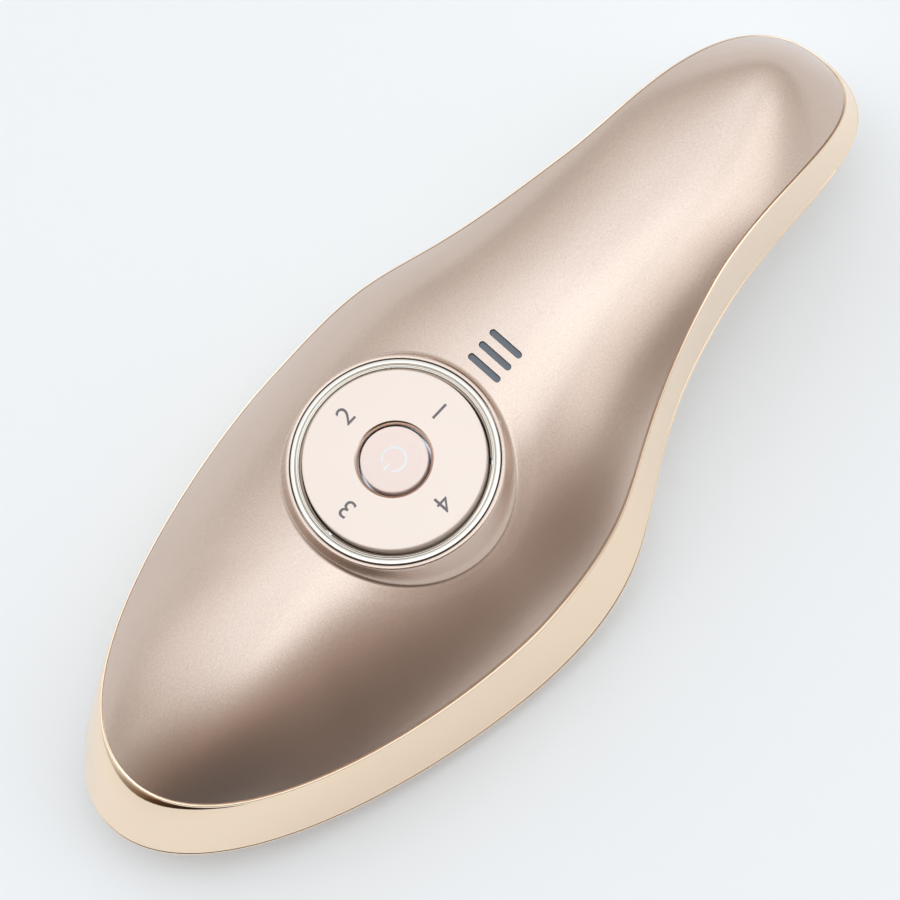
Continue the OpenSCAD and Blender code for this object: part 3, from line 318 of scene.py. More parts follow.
def with_fillet(a, b):
    """The higher of two surfaces, with a soft hollow where they cross."""
    near = np.maximum(FILLET - np.abs(a - b), 0) / FILLET
    return np.maximum(a, b) + near * near * FILLET / 4


def flank_foot():
    """Radius at which the boss's flank meets the cover's surface, for each ray."""
    foot = np.full(COLUMNS, FLANK_START[0] + 1)
    for _ in range(30):
        foot = foot - (flank_z(foot) - cover_z(ray * foot[:, None])) / -FLANK_SLOPE * 0.8
    return foot


def boss_rings():
    """From the skirt inside the boss over the bezel's seat and the rounded rim down the flank."""
    rings = [circle(FRAME_R, SKIRT_LOW), circle(FRAME_R, LEDGE_LOW), circle(LEDGE_R, LEDGE_LOW),
             circle(LEDGE_R, SEAT_Z), circle(BORE_R, SEAT_Z), circle(BORE_R, BOSS_TOP - 0.12),
             circle(BORE_R + 0.04, BOSS_TOP - 0.03), circle(BORE_R + 0.13, BOSS_TOP)]
    rings += [circle(r, z) for r, z in arc(ROUND_CENTRE, ROUND_R, 90, ROUND_END, 8)]
    shelf, foot = FLANK_START[0], flank_foot()
    flank = [shelf + share * (foot - shelf) for share in (0.15, 0.3, 0.45, 0.6, 0.72, 0.82, 0.91)]
    flank += [foot + offset for offset in (0, 0.1, 0.2, 0.3, 0.42, 0.55, 0.7, 0.9, 1.1, 1.3)]
    for r in flank:
        plan = ray * r[:, None]
        rings.append(level(plan, with_fillet(flank_z(r), cover_z(plan))))
    return rings


def skin_rings():
    """The outer surface from the boss to the edge, which rounds over into the gap of the seam."""
    inner, near = ray * APRON_R, inset(cover_ring, EDGE_ZONE)
    rings = [under_cover(inner + share * (near - inner)) for share in np.linspace(0, 1, 36)]
    rings += [under_cover(inset(cover_ring, SEAM_GAP + gap)) for gap in (1.2, 0.8, 0.5, 0.3, 0.18, 0.1)]
    top = cover_z(inset(cover_ring, EDGE_ROUND))
    for depth, drop in ((0.23, 0.05), (SEAM_GAP, 0.14)):
        rings.append(level(inset(cover_ring, depth), top - drop))
    return rings


def lining_rings():
    """The lower edge and the inner surface, back to the skirt."""
    low = seam_z(cover_ring[:, 0]) - EDGE_DEPTH
    rings = [level(inset(cover_ring, SEAM_GAP), low), level(inset(cover_ring, LIP_IN), low)]
    wall, throat = inset(cover_ring, LINING_IN), ray * THROAT_R
    for share in (1, 0.9, 0.75, 0.55, 0.3, 0.1):
        rings.append(under_cover(throat + share * (wall - throat), COVER_WALL))
    rings.append(circle(SKIRT_R, SKIRT_LOW))
    return rings


def slot_cutter(x):
    """A bar with round ends across the body: a rod turned by half a side and pulled apart along Y."""
    bar = rod(SLOT_R, SLOT_LOW, SLOT_HIGH)
    half_side = radians(360 / (2 * ROD_SIDES))
    for vertex in bar.data.vertices:
        vx, vy = vertex.co.x, vertex.co.y
        vertex.co.x = vx * cos(half_side) - vy * sin(half_side) + x * MM
        vertex.co.y = vx * sin(half_side) + vy * cos(half_side)
        vertex.co.y += SLOT_REACH * MM if vertex.co.y > 0 else -SLOT_REACH * MM
    return bar


cover = rings_piece("cover", boss_rings() + skin_rings() + lining_rings())
for slot_x in SLOT_PLACES:
    combined(cover, slot_cutter(slot_x), "DIFFERENCE")
smooth(cover, 40)

# ---- Polished side band ----

FLARE, END_BULGE, BULGE_START, BULGE_RUN = 1.15, 0.38, 15, 52
STEP_IN, STEP_DROP, CREST_DROP = 1.15, 0.8, 0.16
SIDE_OUT, SIDE_DROP = 0.36, 0.4
SIDE_FOOT_IN, SIDE_FOOT_RISE = 0.24, 0.3
RIM_WALL_IN, RIM_WALL_DROP = 3.1, 1.2
BASE_DROP, BAND_OVER_BASE = 1.45, 1.6
FOOT_IN, SHOULDER_DROP = 4.1, 2.3


def flare_power(x):
    """How the band widens downwards: slowly at first above 1, fast at first below it (the head's end)."""
    return FLARE - END_BULGE * ease((-x - BULGE_START) / BULGE_RUN)


def band_rings():
    seam, rim = seam_z(cover_ring[:, 0]), rim_z(rim_ring[:, 0])
    power = flare_power(cover_ring[:, 0])[:, None]

    # Step under the cover and the bevel beside it
    rings = [level(inset(cover_ring, STEP_IN), seam - STEP_DROP), level(cover_ring, seam - STEP_DROP),
             level(cover_ring, seam - CREST_DROP)]
    for out, drop in ((0.02, 0.08), (0.1, 0.05), (0.2, 0.07), (0.27, 0.12), (0.31, 0.2), (0.34, 0.3)):
        rings.append(level(inset(cover_ring, -out), seam - drop))

    # Flared side
    top, top_z = inset(cover_ring, -SIDE_OUT), seam - SIDE_DROP
    edge = inset(rim_ring, SIDE_FOOT_IN)
    for v in np.linspace(0, 1, 32) ** 1.5:
        plan = top + (edge - top) * v ** power
        rings.append(level(plan, top_z + (rim + SIDE_FOOT_RISE - top_z) * v))

    # Rounded rim
    for depth, rise in ((0.15, 0.24), (0.08, 0.16), (0.03, 0.07), (0, -0.04)):
        rings.append(level(inset(rim_ring, depth), rim + rise))
    for depth, drop in ((0.02, 0.2), (0.08, 0.42), (0.2, 0.65), (0.38, 0.86), (0.6, 1.03), (0.88, 1.15),
                        (1.2, RIM_WALL_DROP), (RIM_WALL_IN, RIM_WALL_DROP)):
        rings.append(level(inset(rim_ring, depth), rim - drop))

    # Inner surface, back up to the step
    foot_top, shoulder = rim - BASE_DROP + BAND_OVER_BASE, seam - SHOULDER_DROP
    inner_foot, inner_top = inset(rim_ring, FOOT_IN), inset(cover_ring, LIP_IN)
    rings += [level(inset(rim_ring, RIM_WALL_IN), foot_top), level(inner_foot, foot_top)]
    rings.append(level(inner_top + (inner_foot - inner_top) * 0.5 ** power, (shoulder + foot_top) / 2))
    rings += [level(inner_top, shoulder), level(inset(cover_ring, STEP_IN), shoulder)]
    return rings


band = rings_piece("band", band_rings())
smooth(band, 50)

# ---- Underside ----

BASE_OUT_IN, BASE_WALL_IN, BASE_LIP_IN = 1.4, 4.15, 3.25
BASE_LIP_RISE, BASE_INNER_RISE, BASE_FLOOR = 1.3, 0.7, 2.2
COLLAR_IN, COLLAR_OUT, COLLAR_LOW, COLLAR_HIGH = 27.2, 31.2, 0.45, 3.65
# Radius and both heights of each round recess
HEAD_SEAT, HEAD_OPENING = (31.25, 3.6, 14), (28.2, -3, 8)
SOCKET_X = 97
SOCKET_RECESSES = ((4, 5, 16.44), (3, 10, 19))
# Place along the body and top of each screw's well
WELL_R, WELL_LOW = 2.35, -4
WELLS = ((-57, 5.0), (41, 5.0), (106, 15.0))


def base_rings():
    edge_z = rim_z(rim_ring[:, 0]) - BASE_DROP
    feet = spine_x(rim_ring[:, 0], RIM, BASE_SPINE)
    foot = np.c_[feet, np.zeros(COLUMNS)]
    power, low = base_power(feet), belly_z(feet)

    def shell(edge, heights, r, lift):
        """A ring at a share r of the way from the spine to the edge of the bowl."""
        return level(foot + r * (edge - foot), heights + (low + lift - heights) * (1 - r ** power))

    outside, inside = inset(rim_ring, BASE_OUT_IN), inset(rim_ring, BASE_WALL_IN)
    lip, lip_z = inset(rim_ring, BASE_LIP_IN), edge_z + BASE_LIP_RISE
    rings = [shell(outside, edge_z, r, 0) for r in (0, 0.06, 0.14, 0.24, 0.34, 0.44, 0.54, 0.62, 0.7, 0.76,
                                                  0.82, 0.87, 0.91, 0.94, 0.965, 0.985, 1)]
    rings += [level(lip, edge_z), level(lip, lip_z), level(inside, lip_z)]
    rings += [shell(inside, edge_z + BASE_INNER_RISE, r, BASE_FLOOR)
              for r in (1, 0.94, 0.86, 0.74, 0.6, 0.44, 0.28, 0.12, 0)]
    return rings


def collar_profile():
    """The raised ring round the treatment head."""
    return ([(COLLAR_IN, COLLAR_LOW)] + arc((28.9, 0.75), 0.3, -90, -45, 4)
            + [(29.7, 1.05), (COLLAR_OUT, 1.95), (COLLAR_OUT, COLLAR_HIGH), (COLLAR_IN, COLLAR_HIGH)])


underside = rings_piece("underside", base_rings(), closed=False)
for opening in (HEAD_SEAT, HEAD_OPENING):
    combined(underside, rod(*opening, sides=WIDE_SIDES), "DIFFERENCE")
combined(underside, turned("collar", collar_profile(), WIDE_SIDES), "UNION")
for well_x, well_top in WELLS:
    combined(underside, rod(WELL_R, WELL_LOW, well_top, well_x), "DIFFERENCE")
for recess in SOCKET_RECESSES:
    combined(underside, rod(*recess, SOCKET_X), "DIFFERENCE")
smooth(underside, 40)

# ---- Bezel ----

BEZEL_IN, BEZEL_OUT, BEZEL_SHOULDER = 17.85, 19.9, 43.5
NOTCH_TURNS = (180, 48, -48)
NOTCH_WIDTH, NOTCH_HEIGHT, NOTCH_Z = 1.4, 3, 43


def bezel_profile():
    outer_side = [(BEZEL_IN, SEAT_Z), (BEZEL_OUT, SEAT_Z), (BEZEL_OUT, BEZEL_SHOULDER)]
    outer_round = arc((19.72, BEZEL_SHOULDER), 0.18, 0, 90, 6)
    crest = [(19.4, 43.7), (19.12, 43.68), (19.02, 43.6), (18.98, BEZEL_SHOULDER)]
    groove = dish(18.95, 18.45, BEZEL_SHOULDER, 0.12, 7)
    inner_round = arc((18.36, 43.42), 0.08, 80, 170, 4)
    inner_slope = [(18.26, 43.2), (18.2, 43.02), (18.1, 42.95), (17.95, 42.9), (17.87, 42.84),
                   (BEZEL_IN, 42.75)]
    return outer_side + outer_round + crest + groove + inner_round + inner_slope


def notch_cutter(turn_degrees):
    """A block over the bezel's inner edge, turned round the pad axis."""
    deselect()
    bpy.ops.mesh.primitive_cube_add(size=1)
    block = bpy.context.object
    a = radians(turn_degrees)
    for vertex in block.data.vertices:
        x, y, z = vertex.co.x + BEZEL_IN, vertex.co.y * NOTCH_WIDTH, vertex.co.z * NOTCH_HEIGHT + NOTCH_Z
        vertex.co = ((x * cos(a) - y * sin(a)) * MM, (x * sin(a) + y * cos(a)) * MM, z * MM)
    return block


bezel = turned("bezel", bezel_profile())
for notch_turn in NOTCH_TURNS:
    combined(bezel, notch_cutter(notch_turn), "DIFFERENCE")
smooth(bezel, 30)

# ---- Mode pad and power button ----

PAD_TOP = 44.97
PAD_R, PAD_EDGE, PAD_WALL, PAD_UNDER, PAD_SKIRT_LOW = 17.45, 0.3, 1.2, 43, 41.6
HOLE_R, CUT_EDGE_R = 6.95, 7.53
HUB_IN, HUB_OUT, HUB_LOW = 8.7, 10.5, 37.9
PIN_R, PIN_LENGTH, PIN_X, PIN_Z = 0.95, 4, 9.6, 39.8
BUTTON_R, BUTTON_EDGE, CAP_LOW = 6.42, 0.25, 42.6
STEM_R, STEM_LOW = 3, 34.9


def pad_profile():
    hole = [(HOLE_R, PAD_UNDER), (HOLE_R, 44.36), (HOLE_R + 0.04, 44.42), (HOLE_R + 0.5, 44.9),
            (HOLE_R + 0.6, PAD_TOP)]
    edge = arc((PAD_R - PAD_EDGE, PAD_TOP - PAD_EDGE), PAD_EDGE, 90, 0, 8)
    skirt = [(PAD_R, PAD_SKIRT_LOW), (PAD_R - PAD_WALL, PAD_SKIRT_LOW), (PAD_R - PAD_WALL, PAD_UNDER)]
    hub = [(HUB_OUT, PAD_UNDER), (HUB_OUT, HUB_LOW), (HUB_IN, HUB_LOW), (HUB_IN, PAD_UNDER)]
    return hole + edge + skirt + hub


def pin_cutter(side):
    """A bore along X through the pad's hub, for a pin of the gimbal ring."""
    deselect()
    bpy.ops.mesh.primitive_cylinder_add(vertices=32, radius=PIN_R * MM, depth=PIN_LENGTH * MM,
                                        rotation=(0, pi / 2, 0), location=(side * PIN_X * MM, 0, PIN_Z * MM))
    bpy.ops.object.transform_apply(location=True, rotation=True, scale=True)
    return bpy.context.object


def button_profile():
    stem = [(0, STEM_LOW), (STEM_R, STEM_LOW), (STEM_R, CAP_LOW), (BUTTON_R, CAP_LOW)]
    edge = arc((BUTTON_R - BUTTON_EDGE, PAD_TOP - BUTTON_EDGE), BUTTON_EDGE, 0, 90, 7)
    return stem + edge + [(STEM_R, PAD_TOP), (0, PAD_TOP)]


pad = turned("pad", pad_profile())
for pin_side in (-1, 1):
    combined(pad, pin_cutter(pin_side), "DIFFERENCE")
smooth(pad, 30)

button = turned("button", button_profile())
smooth(button, 30)

# ---- Numerals and power symbol ----

NUMERAL_SIZE, NUMERAL_REACH, PRINT_LIFT, PRINT_DEPTH = 5.3, 12.6, 0.006, 0.012
SYMBOL_R, SYMBOL_STROKE, SYMBOL_OPENING = 2.3, 0.48, 38
SYMBOL_Z, SYMBOL_DEPTH = PAD_TOP - 0.01, 0.03


def numeral(text, x, y, facing):
    """A printed numeral of the pad. facing is the direction of its top, in degrees."""
    deselect()
    bpy.ops.object.text_add()
    letter = bpy.context.object.data
    letter.body, letter.size = text, NUMERAL_SIZE * MM
    letter.align_x, letter.align_y = "CENTER", "CENTER"
    letter.extrude, letter.resolution_u = PRINT_DEPTH * MM, 8
    bpy.ops.object.convert(target="MESH")
    piece = bpy.context.object
    piece.rotation_euler = (0, 0, radians(facing - 90))
    piece.location = (x * MM, y * MM, (PAD_TOP + PRINT_LIFT) * MM)
    bpy.ops.object.transform_apply(location=True, rotation=True, scale=True)
    return piece


def flat_stroke(points, width, z, thickness):
    """A flat line of constant width with round ends, through points of the plan."""
    points = np.array(points, float)
    run = np.gradient(points, axis=0)
    run /= np.linalg.norm(run, axis=1)[:, None]
    side = np.c_[-run[:, 1], run[:, 0]] * width / 2
    cap = np.linspace(0, pi, 9)[1:-1]

    def end(centre, out, across):
        return [centre + across * cos(a) + out * sin(a) * width / 2 for a in cap]

    outline = list(points + side) + end(points[-1], run[-1], side[-1]) + list((points - side)[::-1])
    outline += end(points[0], -run[0], -side[0])
    mesh = bpy.data.meshes.new("stroke")
    made = bmesh.new()
    low = [made.verts.new((p[0] * MM, p[1] * MM, z * MM)) for p in outline]
    made.faces.new(low)
    bmesh.ops.triangulate(made, faces=made.faces[:])
    grown = bmesh.ops.extrude_face_region(made, geom=made.faces[:])
    for item in grown["geom"]:
        if isinstance(item, bmesh.types.BMVert):
            item.co.z += thickness * MM
    bmesh.ops.recalc_face_normals(made, faces=made.faces[:])
    made.to_mesh(mesh)
    piece = bpy.data.objects.new("stroke", mesh)
    bpy.context.scene.collection.objects.link(piece)
    return piece


numerals = joined("numerals", [
    numeral("1", NUMERAL_REACH, 0, 180), numeral("2", 0, NUMERAL_REACH, 90),
    numeral("3", -NUMERAL_REACH, 0, 180), numeral("4", 0, -NUMERAL_REACH, 270)])
tidy(numerals)

sweep = np.radians(np.linspace(180 + SYMBOL_OPENING, 540 - SYMBOL_OPENING, 48))
open_ring = np.c_[SYMBOL_R * np.cos(sweep), SYMBOL_R * np.sin(sweep)]
stick = [(-1.35, 0), (-2.0, 0), (-2.75, 0)]
symbol = joined("power_symbol", [flat_stroke(line, SYMBOL_STROKE, SYMBOL_Z, SYMBOL_DEPTH)
                                 for line in (open_ring, stick)])

# ---- Finishes ----


class Wire:
    """A shader value whose sums, differences and products add their own Math nodes."""

    def __init__(self, finish, socket):
        self.finish, self.socket = finish, socket

    def math(self, operation, other, swapped=False):
        a, b = (other, self) if swapped else (self, other)
        return self.finish.node("ShaderNodeMath", {"operation": operation}, {0: a, 1: b})

    def __add__(self, other):
        return self.math("ADD", other)

    def __rsub__(self, other):
        return self.math("SUBTRACT", other, True)

    def __mul__(self, other):
        return self.math("MULTIPLY", other)

    __radd__, __rmul__ = __add__, __mul__


class Finish:
    """A material and the one method that makes its nodes."""

    def __init__(self, name, color, roughness, metallic=0.0, **constants):
        self.material = bpy.data.materials.new(name)
        self.material.use_nodes = True
        self.tree = self.material.node_tree
        self.shader = self.tree.nodes["Principled BSDF"]
        self.color = (*color, 1)
        self.feed(self.shader.inputs["Base Color"], self.color)
        self.feed(self.shader.inputs["Roughness"], roughness)
        self.feed(self.shader.inputs["Metallic"], metallic)
        for key, value in constants.items():
            self.shader.inputs[key.replace("_", " ")].default_value = value
        self.place = self.node("ShaderNodeTexCoord", {}, {}, "Object")

    def feed(self, socket, value):
        if isinstance(value, Wire):
            self.tree.links.new(value.socket, socket)
        else:
            socket.default_value = value

    def node(self, kind, settings, sockets, output=0):
        made = self.tree.nodes.new(kind)
        for key, value in settings.items():
            setattr(made, key, value)
        for key, value in sockets.items():
            self.feed(made.inputs[key], value)
        return Wire(self, made.outputs[output])

    def noise(self, size, detail=3.0, rough=0.55, stretch=(1, 1, 1)):
        """Noise whose grains are about size millimetres wide."""
        place = self.place
        if stretch != (1, 1, 1):
            place = self.node("ShaderNodeMapping", {}, {"Vector": place, "Scale": stretch})
        grains = {"Vector": place, "Scale": 1 / (size * MM), "Detail": detail, "Roughness": rough}
        return self.node("ShaderNodeTexNoise", {}, grains)

    def axis_distance(self):
        """Distance from the pad axis, in metres."""
        flat = self.node("ShaderNodeVectorMath", {"operation": "MULTIPLY"}, {0: self.place, 1: (1, 1, 0)})
        return self.node("ShaderNodeVectorMath", {"operation": "LENGTH"}, {0: flat}, "Value")

    def below(self, value, limit):
        """1 where a value is less than the limit, and 0 elsewhere."""
        return self.node("ShaderNodeMath", {"operation": "LESS_THAN"}, {0: value, 1: limit})

    def mixed(self, factor, a, b):
        return self.node("ShaderNodeMix", {"data_type": "RGBA"}, {0: factor, 6: a, 7: b}, 2)

    def tint(self, share):
        """The finish's own colour, lighter or darker by a share."""
        return tuple(min(1, c * share) for c in self.color[:3]) + (1,)

    def bump(self, height, strength, distance):
        """Relief by a pattern, its depth in millimetres."""
        relief = {"Strength": strength, "Distance": distance * MM, "Height": height}
        self.feed(self.shader.inputs["Normal"], self.node("ShaderNodeBump", {}, relief))

    def rub(self, wire, low, high):
        """Roughness between two values by a pattern."""
        self.feed(self.shader.inputs["Roughness"], wire * (high - low) + low)

    def paint(self, color):
        self.feed(self.shader.inputs["Base Color"], color)


def moulded(name, color, roughness, grain=0.35, depth=0.01, metallic=0.0, spread=0.06, **constants):
    """A moulded or cast finish: fine grain, slight mottling and uneven gloss."""
    made = Finish(name, color, roughness, metallic, **constants)
    cloud = made.noise(9, 2)
    made.paint(made.mixed(cloud, made.tint(1 - spread), made.tint(1 + spread)))
    grains = made.noise(grain, 3)
    made.rub(cloud * 0.6 + grains * 0.4, roughness - 0.06, roughness + 0.06)
    made.bump(grains, 0.25, depth)
    return made


def turned_metal(name, color, roughness, line=0.12, depth=0.006):
    """A metal turned on the pad axis, with fine concentric tool lines."""
    made = Finish(name, color, roughness, 1.0)
    lines = made.node("ShaderNodeTexNoise", {"noise_dimensions": "1D"},
                      {"W": made.axis_distance(), "Scale": 1 / (line * MM), "Detail": 2.0})
    made.rub(lines, roughness - 0.05, roughness + 0.07)
    made.paint(made.mixed(made.noise(6, 2), made.tint(0.96), made.tint(1.03)))
    made.bump(lines, 0.2, depth)
    return made


def brushed_metal(name, color, roughness, stretch):
    """A metal brushed along the direction in which its lines are stretched."""
    made = Finish(name, color, roughness, 1.0)
    lines = made.noise(0.25, 3, stretch=stretch)
    made.rub(lines, roughness - 0.07, roughness + 0.09)
    made.paint(made.mixed(lines, made.tint(0.9), made.tint(1.08)))
    made.bump(lines, 0.2, 0.01)
    return made


def champagne_satin():
    """Satin metallic paint with fine flakes."""
    made = Finish("champagne_satin", (0.66, 0.515, 0.43), 0.25, 0.8, Coat_Weight=0.2, Coat_Roughness=0.2)
    flakes, cloud = made.noise(0.32, 2, 0.75), made.noise(22, 2)
    made.paint(made.mixed(flakes * 0.8 + cloud * 0.2, made.tint(0.74), made.tint(1.26)))
    made.rub(flakes * 0.5 + cloud * 0.5, 0.22, 0.28)
    made.bump(flakes, 0.3, 0.012)
    return made


def rose_gold_polished():
    """Polished plating with faint smears."""
    made = Finish("rose_gold_polished", (1.0, 0.80, 0.615), 0.05, 1.0)
    made.rub(made.noise(14, 3), 0.03, 0.075)
    made.paint(made.mixed(made.noise(35, 2), made.tint(0.985), made.tint(1.015)))
    made.bump(made.noise(6, 1), 0.03, 0.01)
    return made


def blush_satin():
    """Pearly satin, with a bare metallic cut edge round the pad's hole."""
    made = Finish("blush_satin", (0.93, 0.79, 0.70), 0.42, 0.2, Coat_Weight=0.1, Coat_Roughness=0.35)
    pearl = made.noise(0.3, 2, 0.7)
    cut_edge = made.below(made.axis_distance(), CUT_EDGE_R * MM)
    satin = made.mixed(pearl * 0.6 + made.noise(8, 2) * 0.4, made.tint(0.96), made.tint(1.04))
    made.paint(made.mixed(cut_edge, satin, (0.80, 0.67, 0.58, 1)))
    made.feed(made.shader.inputs["Roughness"], (pearl * 0.08 + 0.38) * (1 - cut_edge * 0.6))
    made.feed(made.shader.inputs["Metallic"], cut_edge * 0.8 + 0.2)
    made.bump(pearl, 0.1, 0.01)
    return made


def button_pink():
    """Milky plastic under a thin gloss."""
    made = Finish("button_pink", (0.99, 0.785, 0.715), 0.35, 0.0, Coat_Weight=0.15, Coat_Roughness=0.1,
                  Subsurface_Weight=0.15, Subsurface_Scale=0.002)
    haze = made.noise(3, 3)
    made.paint(made.mixed(haze, made.tint(0.97), made.tint(1.03)))
    made.rub(haze, 0.26, 0.34)
    made.bump(made.noise(0.4, 2), 0.08, 0.008)
    return made


def smoked_lens():
    """Dark glossy plastic with faint ribs."""
    made = Finish("smoked_lens", (0.10, 0.112, 0.135), 0.22, 0.0, Coat_Weight=0.4, Coat_Roughness=0.08)
    ribs = made.noise(0.25, 2, stretch=(1, 0.4, 1))
    made.paint(made.mixed(ribs, made.tint(0.8), made.tint(1.25)))
    made.rub(ribs, 0.18, 0.28)
    made.bump(ribs, 0.1, 0.01)
    return made


def board_green():
    """Circuit board with raised tracks."""
    made = Finish("board_green", (0.02, 0.13, 0.06), 0.35)
    cells = made.node("ShaderNodeTexVoronoi", {"feature": "DISTANCE_TO_EDGE"},
                      {"Vector": made.place, "Scale": 420.0})
    tracks = made.below(cells, 0.05)
    made.paint(made.mixed(tracks, made.tint(1), (0.05, 0.22, 0.09, 1)))
    made.rub(made.noise(2, 2), 0.28, 0.42)
    made.bump(tracks, 0.3, 0.03)
    return made


FINISHES = {
    "top_cover": champagne_satin(),
    "side_band": rose_gold_polished(),
    "bezel_ring": turned_metal("pale_gold_turned", (0.67, 0.615, 0.55), 0.2, 0.3, depth=0.003),
    "mode_pad": blush_satin(),
    "power_button": button_pink(),
    "indicator_lens": smoked_lens(),
    "base": moulded("base_pearl", (0.80, 0.74, 0.68), 0.34, 0.4, 0.01, 0.1, 0.03, Coat_Weight=0.2),
    "head_insulator": moulded("insulator_white", (0.82, 0.81, 0.78), 0.36),
    "inner_electrode": turned_metal("electrode_metal", (0.80, 0.78, 0.74), 0.18),
    "cooling_plate": turned_metal("cooling_aluminium", (0.78, 0.79, 0.80), 0.28, 0.2),
    "head_seal": moulded("seal_rubber", (0.03, 0.03, 0.032), 0.62, 0.25, 0.02),
    "peltier_module": moulded("ceramic_white", (0.83, 0.82, 0.78), 0.5, 0.2),
    "heat_sink": brushed_metal("sink_aluminium", (0.56, 0.58, 0.60), 0.34, (0.03, 1, 1)),
    "gimbal_ring": turned_metal("gimbal_steel", (0.58, 0.58, 0.60), 0.25),
    "mode_frame": moulded("frame_plastic", (0.06, 0.063, 0.07), 0.48, 0.3, 0.015),
    "battery_tray": moulded("tray_plastic", (0.07, 0.073, 0.08), 0.5, 0.3, 0.015),
    "plunger_front": moulded("plunger_plastic", (0.70, 0.70, 0.67), 0.4),
    "switch_bodies": moulded("switch_plastic", (0.025, 0.025, 0.028), 0.42),
    "charge_socket": moulded("socket_plastic", (0.02, 0.02, 0.022), 0.38),
    "case_screws": turned_metal("screw_steel", (0.50, 0.50, 0.52), 0.3, 0.2),
    "indicator_leds": moulded("led_lens", (0.85, 0.84, 0.74), 0.2, 0.3, 0.005),
    "battery": moulded("cell_foil", (0.50, 0.53, 0.58), 0.32, 1.6, 0.06, 0.9, 0.05),
    "main_board": board_green(),
}
SAME = {
    "outer_electrode": "inner_electrode",
    "plunger_rear": "plunger_front", "plunger_left": "plunger_front", "plunger_right": "plunger_front",
    "power_stem": "plunger_front",
    "switch_board": "main_board", "indicator_board": "main_board",
    "small_screws": "case_screws",
}
LEGEND = moulded("legend_grey", (0.17, 0.15, 0.16), 0.5, 0.15, 0.004)
SYMBOL_WHITE = moulded("symbol_white", (0.93, 0.90, 0.90), 0.35, 0.2, 0.004)


def dress(piece, finish):
    piece.data.materials.clear()
    piece.data.materials.append(finish.material)


for name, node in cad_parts.items():
    dress(node, FINISHES[SAME.get(name, name)])

for piece, name, body, slot in (
        (cover, "top_cover", "shell", "cover_satin"),
        (band, "side_band", "shell", "band_polished"),
        (underside, "base", "shell", "base_pearl"),
        (bezel, "bezel_ring", "shell", "bezel_metal"),
        (pad, "mode_pad", "pad", "pad_satin"),
        (button, "power_button", "button", "button_translucent")):
    dress(piece, FINISHES[name])
    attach(piece, body)
    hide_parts(name)

for piece, finish, body, slot in (
        (numerals, LEGEND, "pad", "pad_satin"),
        (symbol, SYMBOL_WHITE, "button", "button_translucent")):
    dress(piece, finish)
    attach(piece, body)

# ---- Table and softbox ----

TABLE_SIZE = 5
TABLE_GLOW = (0.90, 0.925, 0.945, 1)
GLOW_SHARE = 0.15


def paper():
    """Matt paper, with some glow mixed in where the camera or a mirror sees it."""
    made = Finish("floor_paper", (0.94, 0.94, 0.94), 0.6)
    made.paint(made.mixed(made.noise(60, 2), made.tint(0.995), made.tint(1.005)))
    glow = made.node("ShaderNodeEmission", {}, {"Color": TABLE_GLOW})
    camera_ray, glossy_ray = (made.node("ShaderNodeLightPath", {}, {}, kind)
                              for kind in ("Is Camera Ray", "Is Glossy Ray"))
    shader = Wire(made, made.shader.outputs[0])
    seen = (camera_ray + glossy_ray) * GLOW_SHARE
    lit = made.node("ShaderNodeMixShader", {}, {0: seen, 1: shader, 2: glow})
    made.feed(made.tree.nodes["Material Output"].inputs["Surface"], lit)
    return made


def softbox(name, centre, across, along, turn_degrees, radiance, color):
    """A level rectangle of even light over the table, its strength given as radiance."""
    lamp = bpy.data.lights.new(name, "AREA")
    lamp.shape, lamp.size, lamp.size_y = "RECTANGLE", across, along
    lamp.energy = radiance * pi * across * along
    lamp.color = color
    holder = bpy.data.objects.new(name, lamp)
    holder.location = centre
    holder.rotation_euler = (0, 0, radians(turn_degrees))
    bpy.context.scene.collection.objects.link(holder)


deselect()
bpy.ops.mesh.primitive_plane_add(size=TABLE_SIZE)
floor = bpy.context.object
floor.name = "floor"
dress(floor, paper())
softbox("overhead", centre=(0.05, -0.09, 1.25), across=0.7, along=0.75, turn_degrees=30, radiance=0.3,
        color=(0.92, 1.0, 1.08))

# ---- Room ----

STRAIGHT_UP = (0, 0, 1)

world = bpy.data.worlds.new("studio")
bpy.context.scene.world = world
world.use_nodes = True
tree = world.node_tree
sky = tree.nodes["Background"]
direction = tree.nodes.new("ShaderNodeTexCoord").outputs["Generated"]


def towards(azimuth, elevation):
    """Direction of a place in the room, in degrees round from +X and up."""
    a, e = radians(azimuth), radians(elevation)
    return cos(a) * cos(e), sin(a) * cos(e), sin(e)


def room_ramp(axis, stops):
    """Colours of the room by the cosine of a direction's angle to an axis."""
    lean = tree.nodes.new("ShaderNodeVectorMath")
    lean.operation = "DOT_PRODUCT"
    tree.links.new(direction, lean.inputs[0])
    lean.inputs[1].default_value = [v / 2 for v in axis]
    shift = tree.nodes.new("ShaderNodeMath")
    tree.links.new(lean.outputs["Value"], shift.inputs[0])
    shift.inputs[1].default_value = 0.5
    ramp = tree.nodes.new("ShaderNodeValToRGB")
    tree.links.new(shift.outputs[0], ramp.inputs["Fac"])
    while len(ramp.color_ramp.elements) < len(stops):
        ramp.color_ramp.elements.new(0.5)
    for element, (lean_to, color) in zip(ramp.color_ramp.elements, stops):
        element.position, element.color = 0.5 + lean_to / 2, (*color, 1)
    return ramp.outputs["Color"]


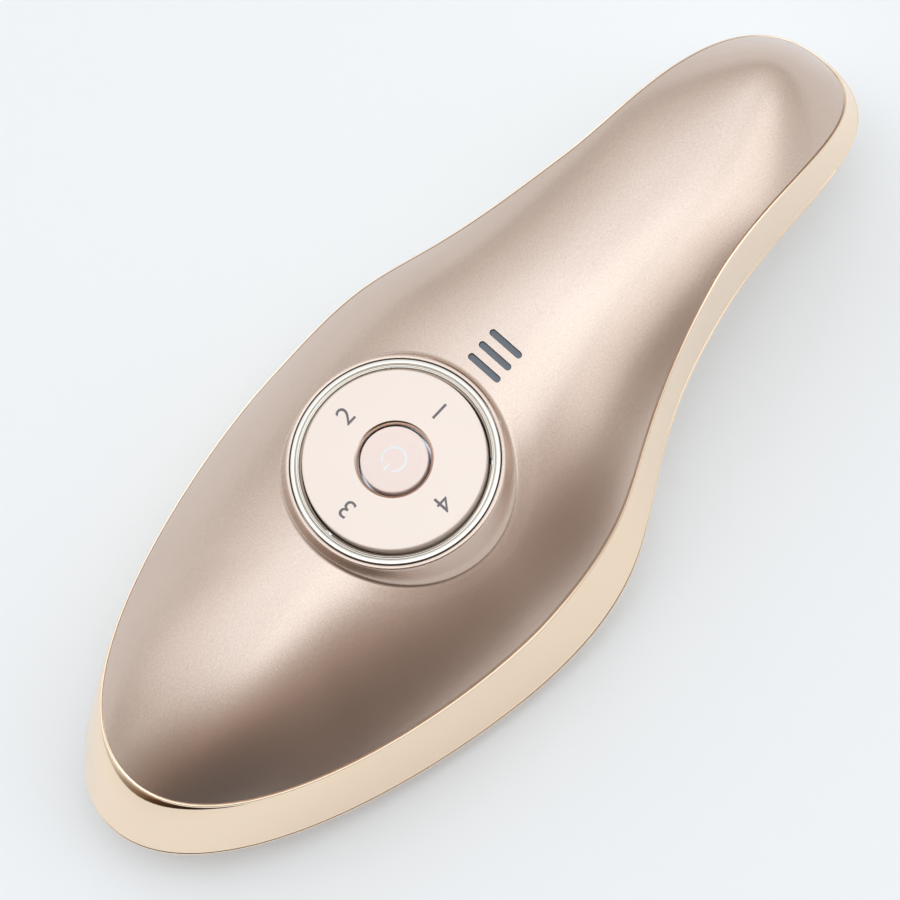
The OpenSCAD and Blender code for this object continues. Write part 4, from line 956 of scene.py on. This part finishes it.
def room_mix(blend, a, b):
    mixed = tree.nodes.new("ShaderNodeMix")
    mixed.data_type, mixed.blend_type = "RGBA", blend
    mixed.inputs[0].default_value = 1
    tree.links.new(a, mixed.inputs[6])
    tree.links.new(b, mixed.inputs[7])
    return mixed.outputs[2]


walls = room_ramp(STRAIGHT_UP, (
    (0.0, (0.41, 0.41, 0.395)),
    (0.3, (0.477, 0.483, 0.475)),
    (0.55, (0.59, 0.61, 0.62)),
    (0.75, (0.683, 0.71, 0.73)),
    (0.88, (0.79, 0.85, 0.90)),
    (0.96, (0.90, 0.99, 1.07)),
    (1.0, (0.94, 1.05, 1.11))))
dark_corner = room_ramp(towards(221, 6), (
    (-0.1, (1, 1, 1)),
    (0.25, (0.89, 0.88, 0.86)),
    (0.5, (0.49, 0.41, 0.36)),
    (0.7, (0.29, 0.195, 0.14)),
    (0.82, (0.13, 0.07, 0.04)),
    (1.0, (0.03, 0.02, 0.015))))
window = room_ramp(towards(300, 45), (
    (0.895, (0, 0, 0)),
    (0.97, (0.33, 0.37, 0.40))))
strip = room_ramp(towards(27, 12), (
    (-0.15, (0, 0, 0)),
    (0.1, (0.115, 0.125, 0.14)),
    (0.3, (0.145, 0.165, 0.185)),
    (0.55, (0, 0, 0))))
room = room_mix("ADD", room_mix("MULTIPLY", walls, dark_corner), room_mix("ADD", window, strip))
tree.links.new(room, sky.inputs["Color"])
sky.inputs["Strength"].default_value = 1.5

# ---- Camera ----

FOCAL_LENGTH, SENSOR_WIDTH = 193.33, 36
CAMERA_PLACE = (-0.08352, -0.2655, 0.9009)
CAMERA_TURNS = (15.826, 8.2275, -46.3136)

lens_data = bpy.data.cameras.new("camera")
lens_data.lens, lens_data.sensor_width = FOCAL_LENGTH, SENSOR_WIDTH
camera = bpy.data.objects.new("camera", lens_data)
camera.location = CAMERA_PLACE
camera.rotation_euler = [radians(a) for a in CAMERA_TURNS]
bpy.context.scene.collection.objects.link(camera)
bpy.context.scene.camera = camera
bpy.context.scene.view_settings.view_transform = "Standard"
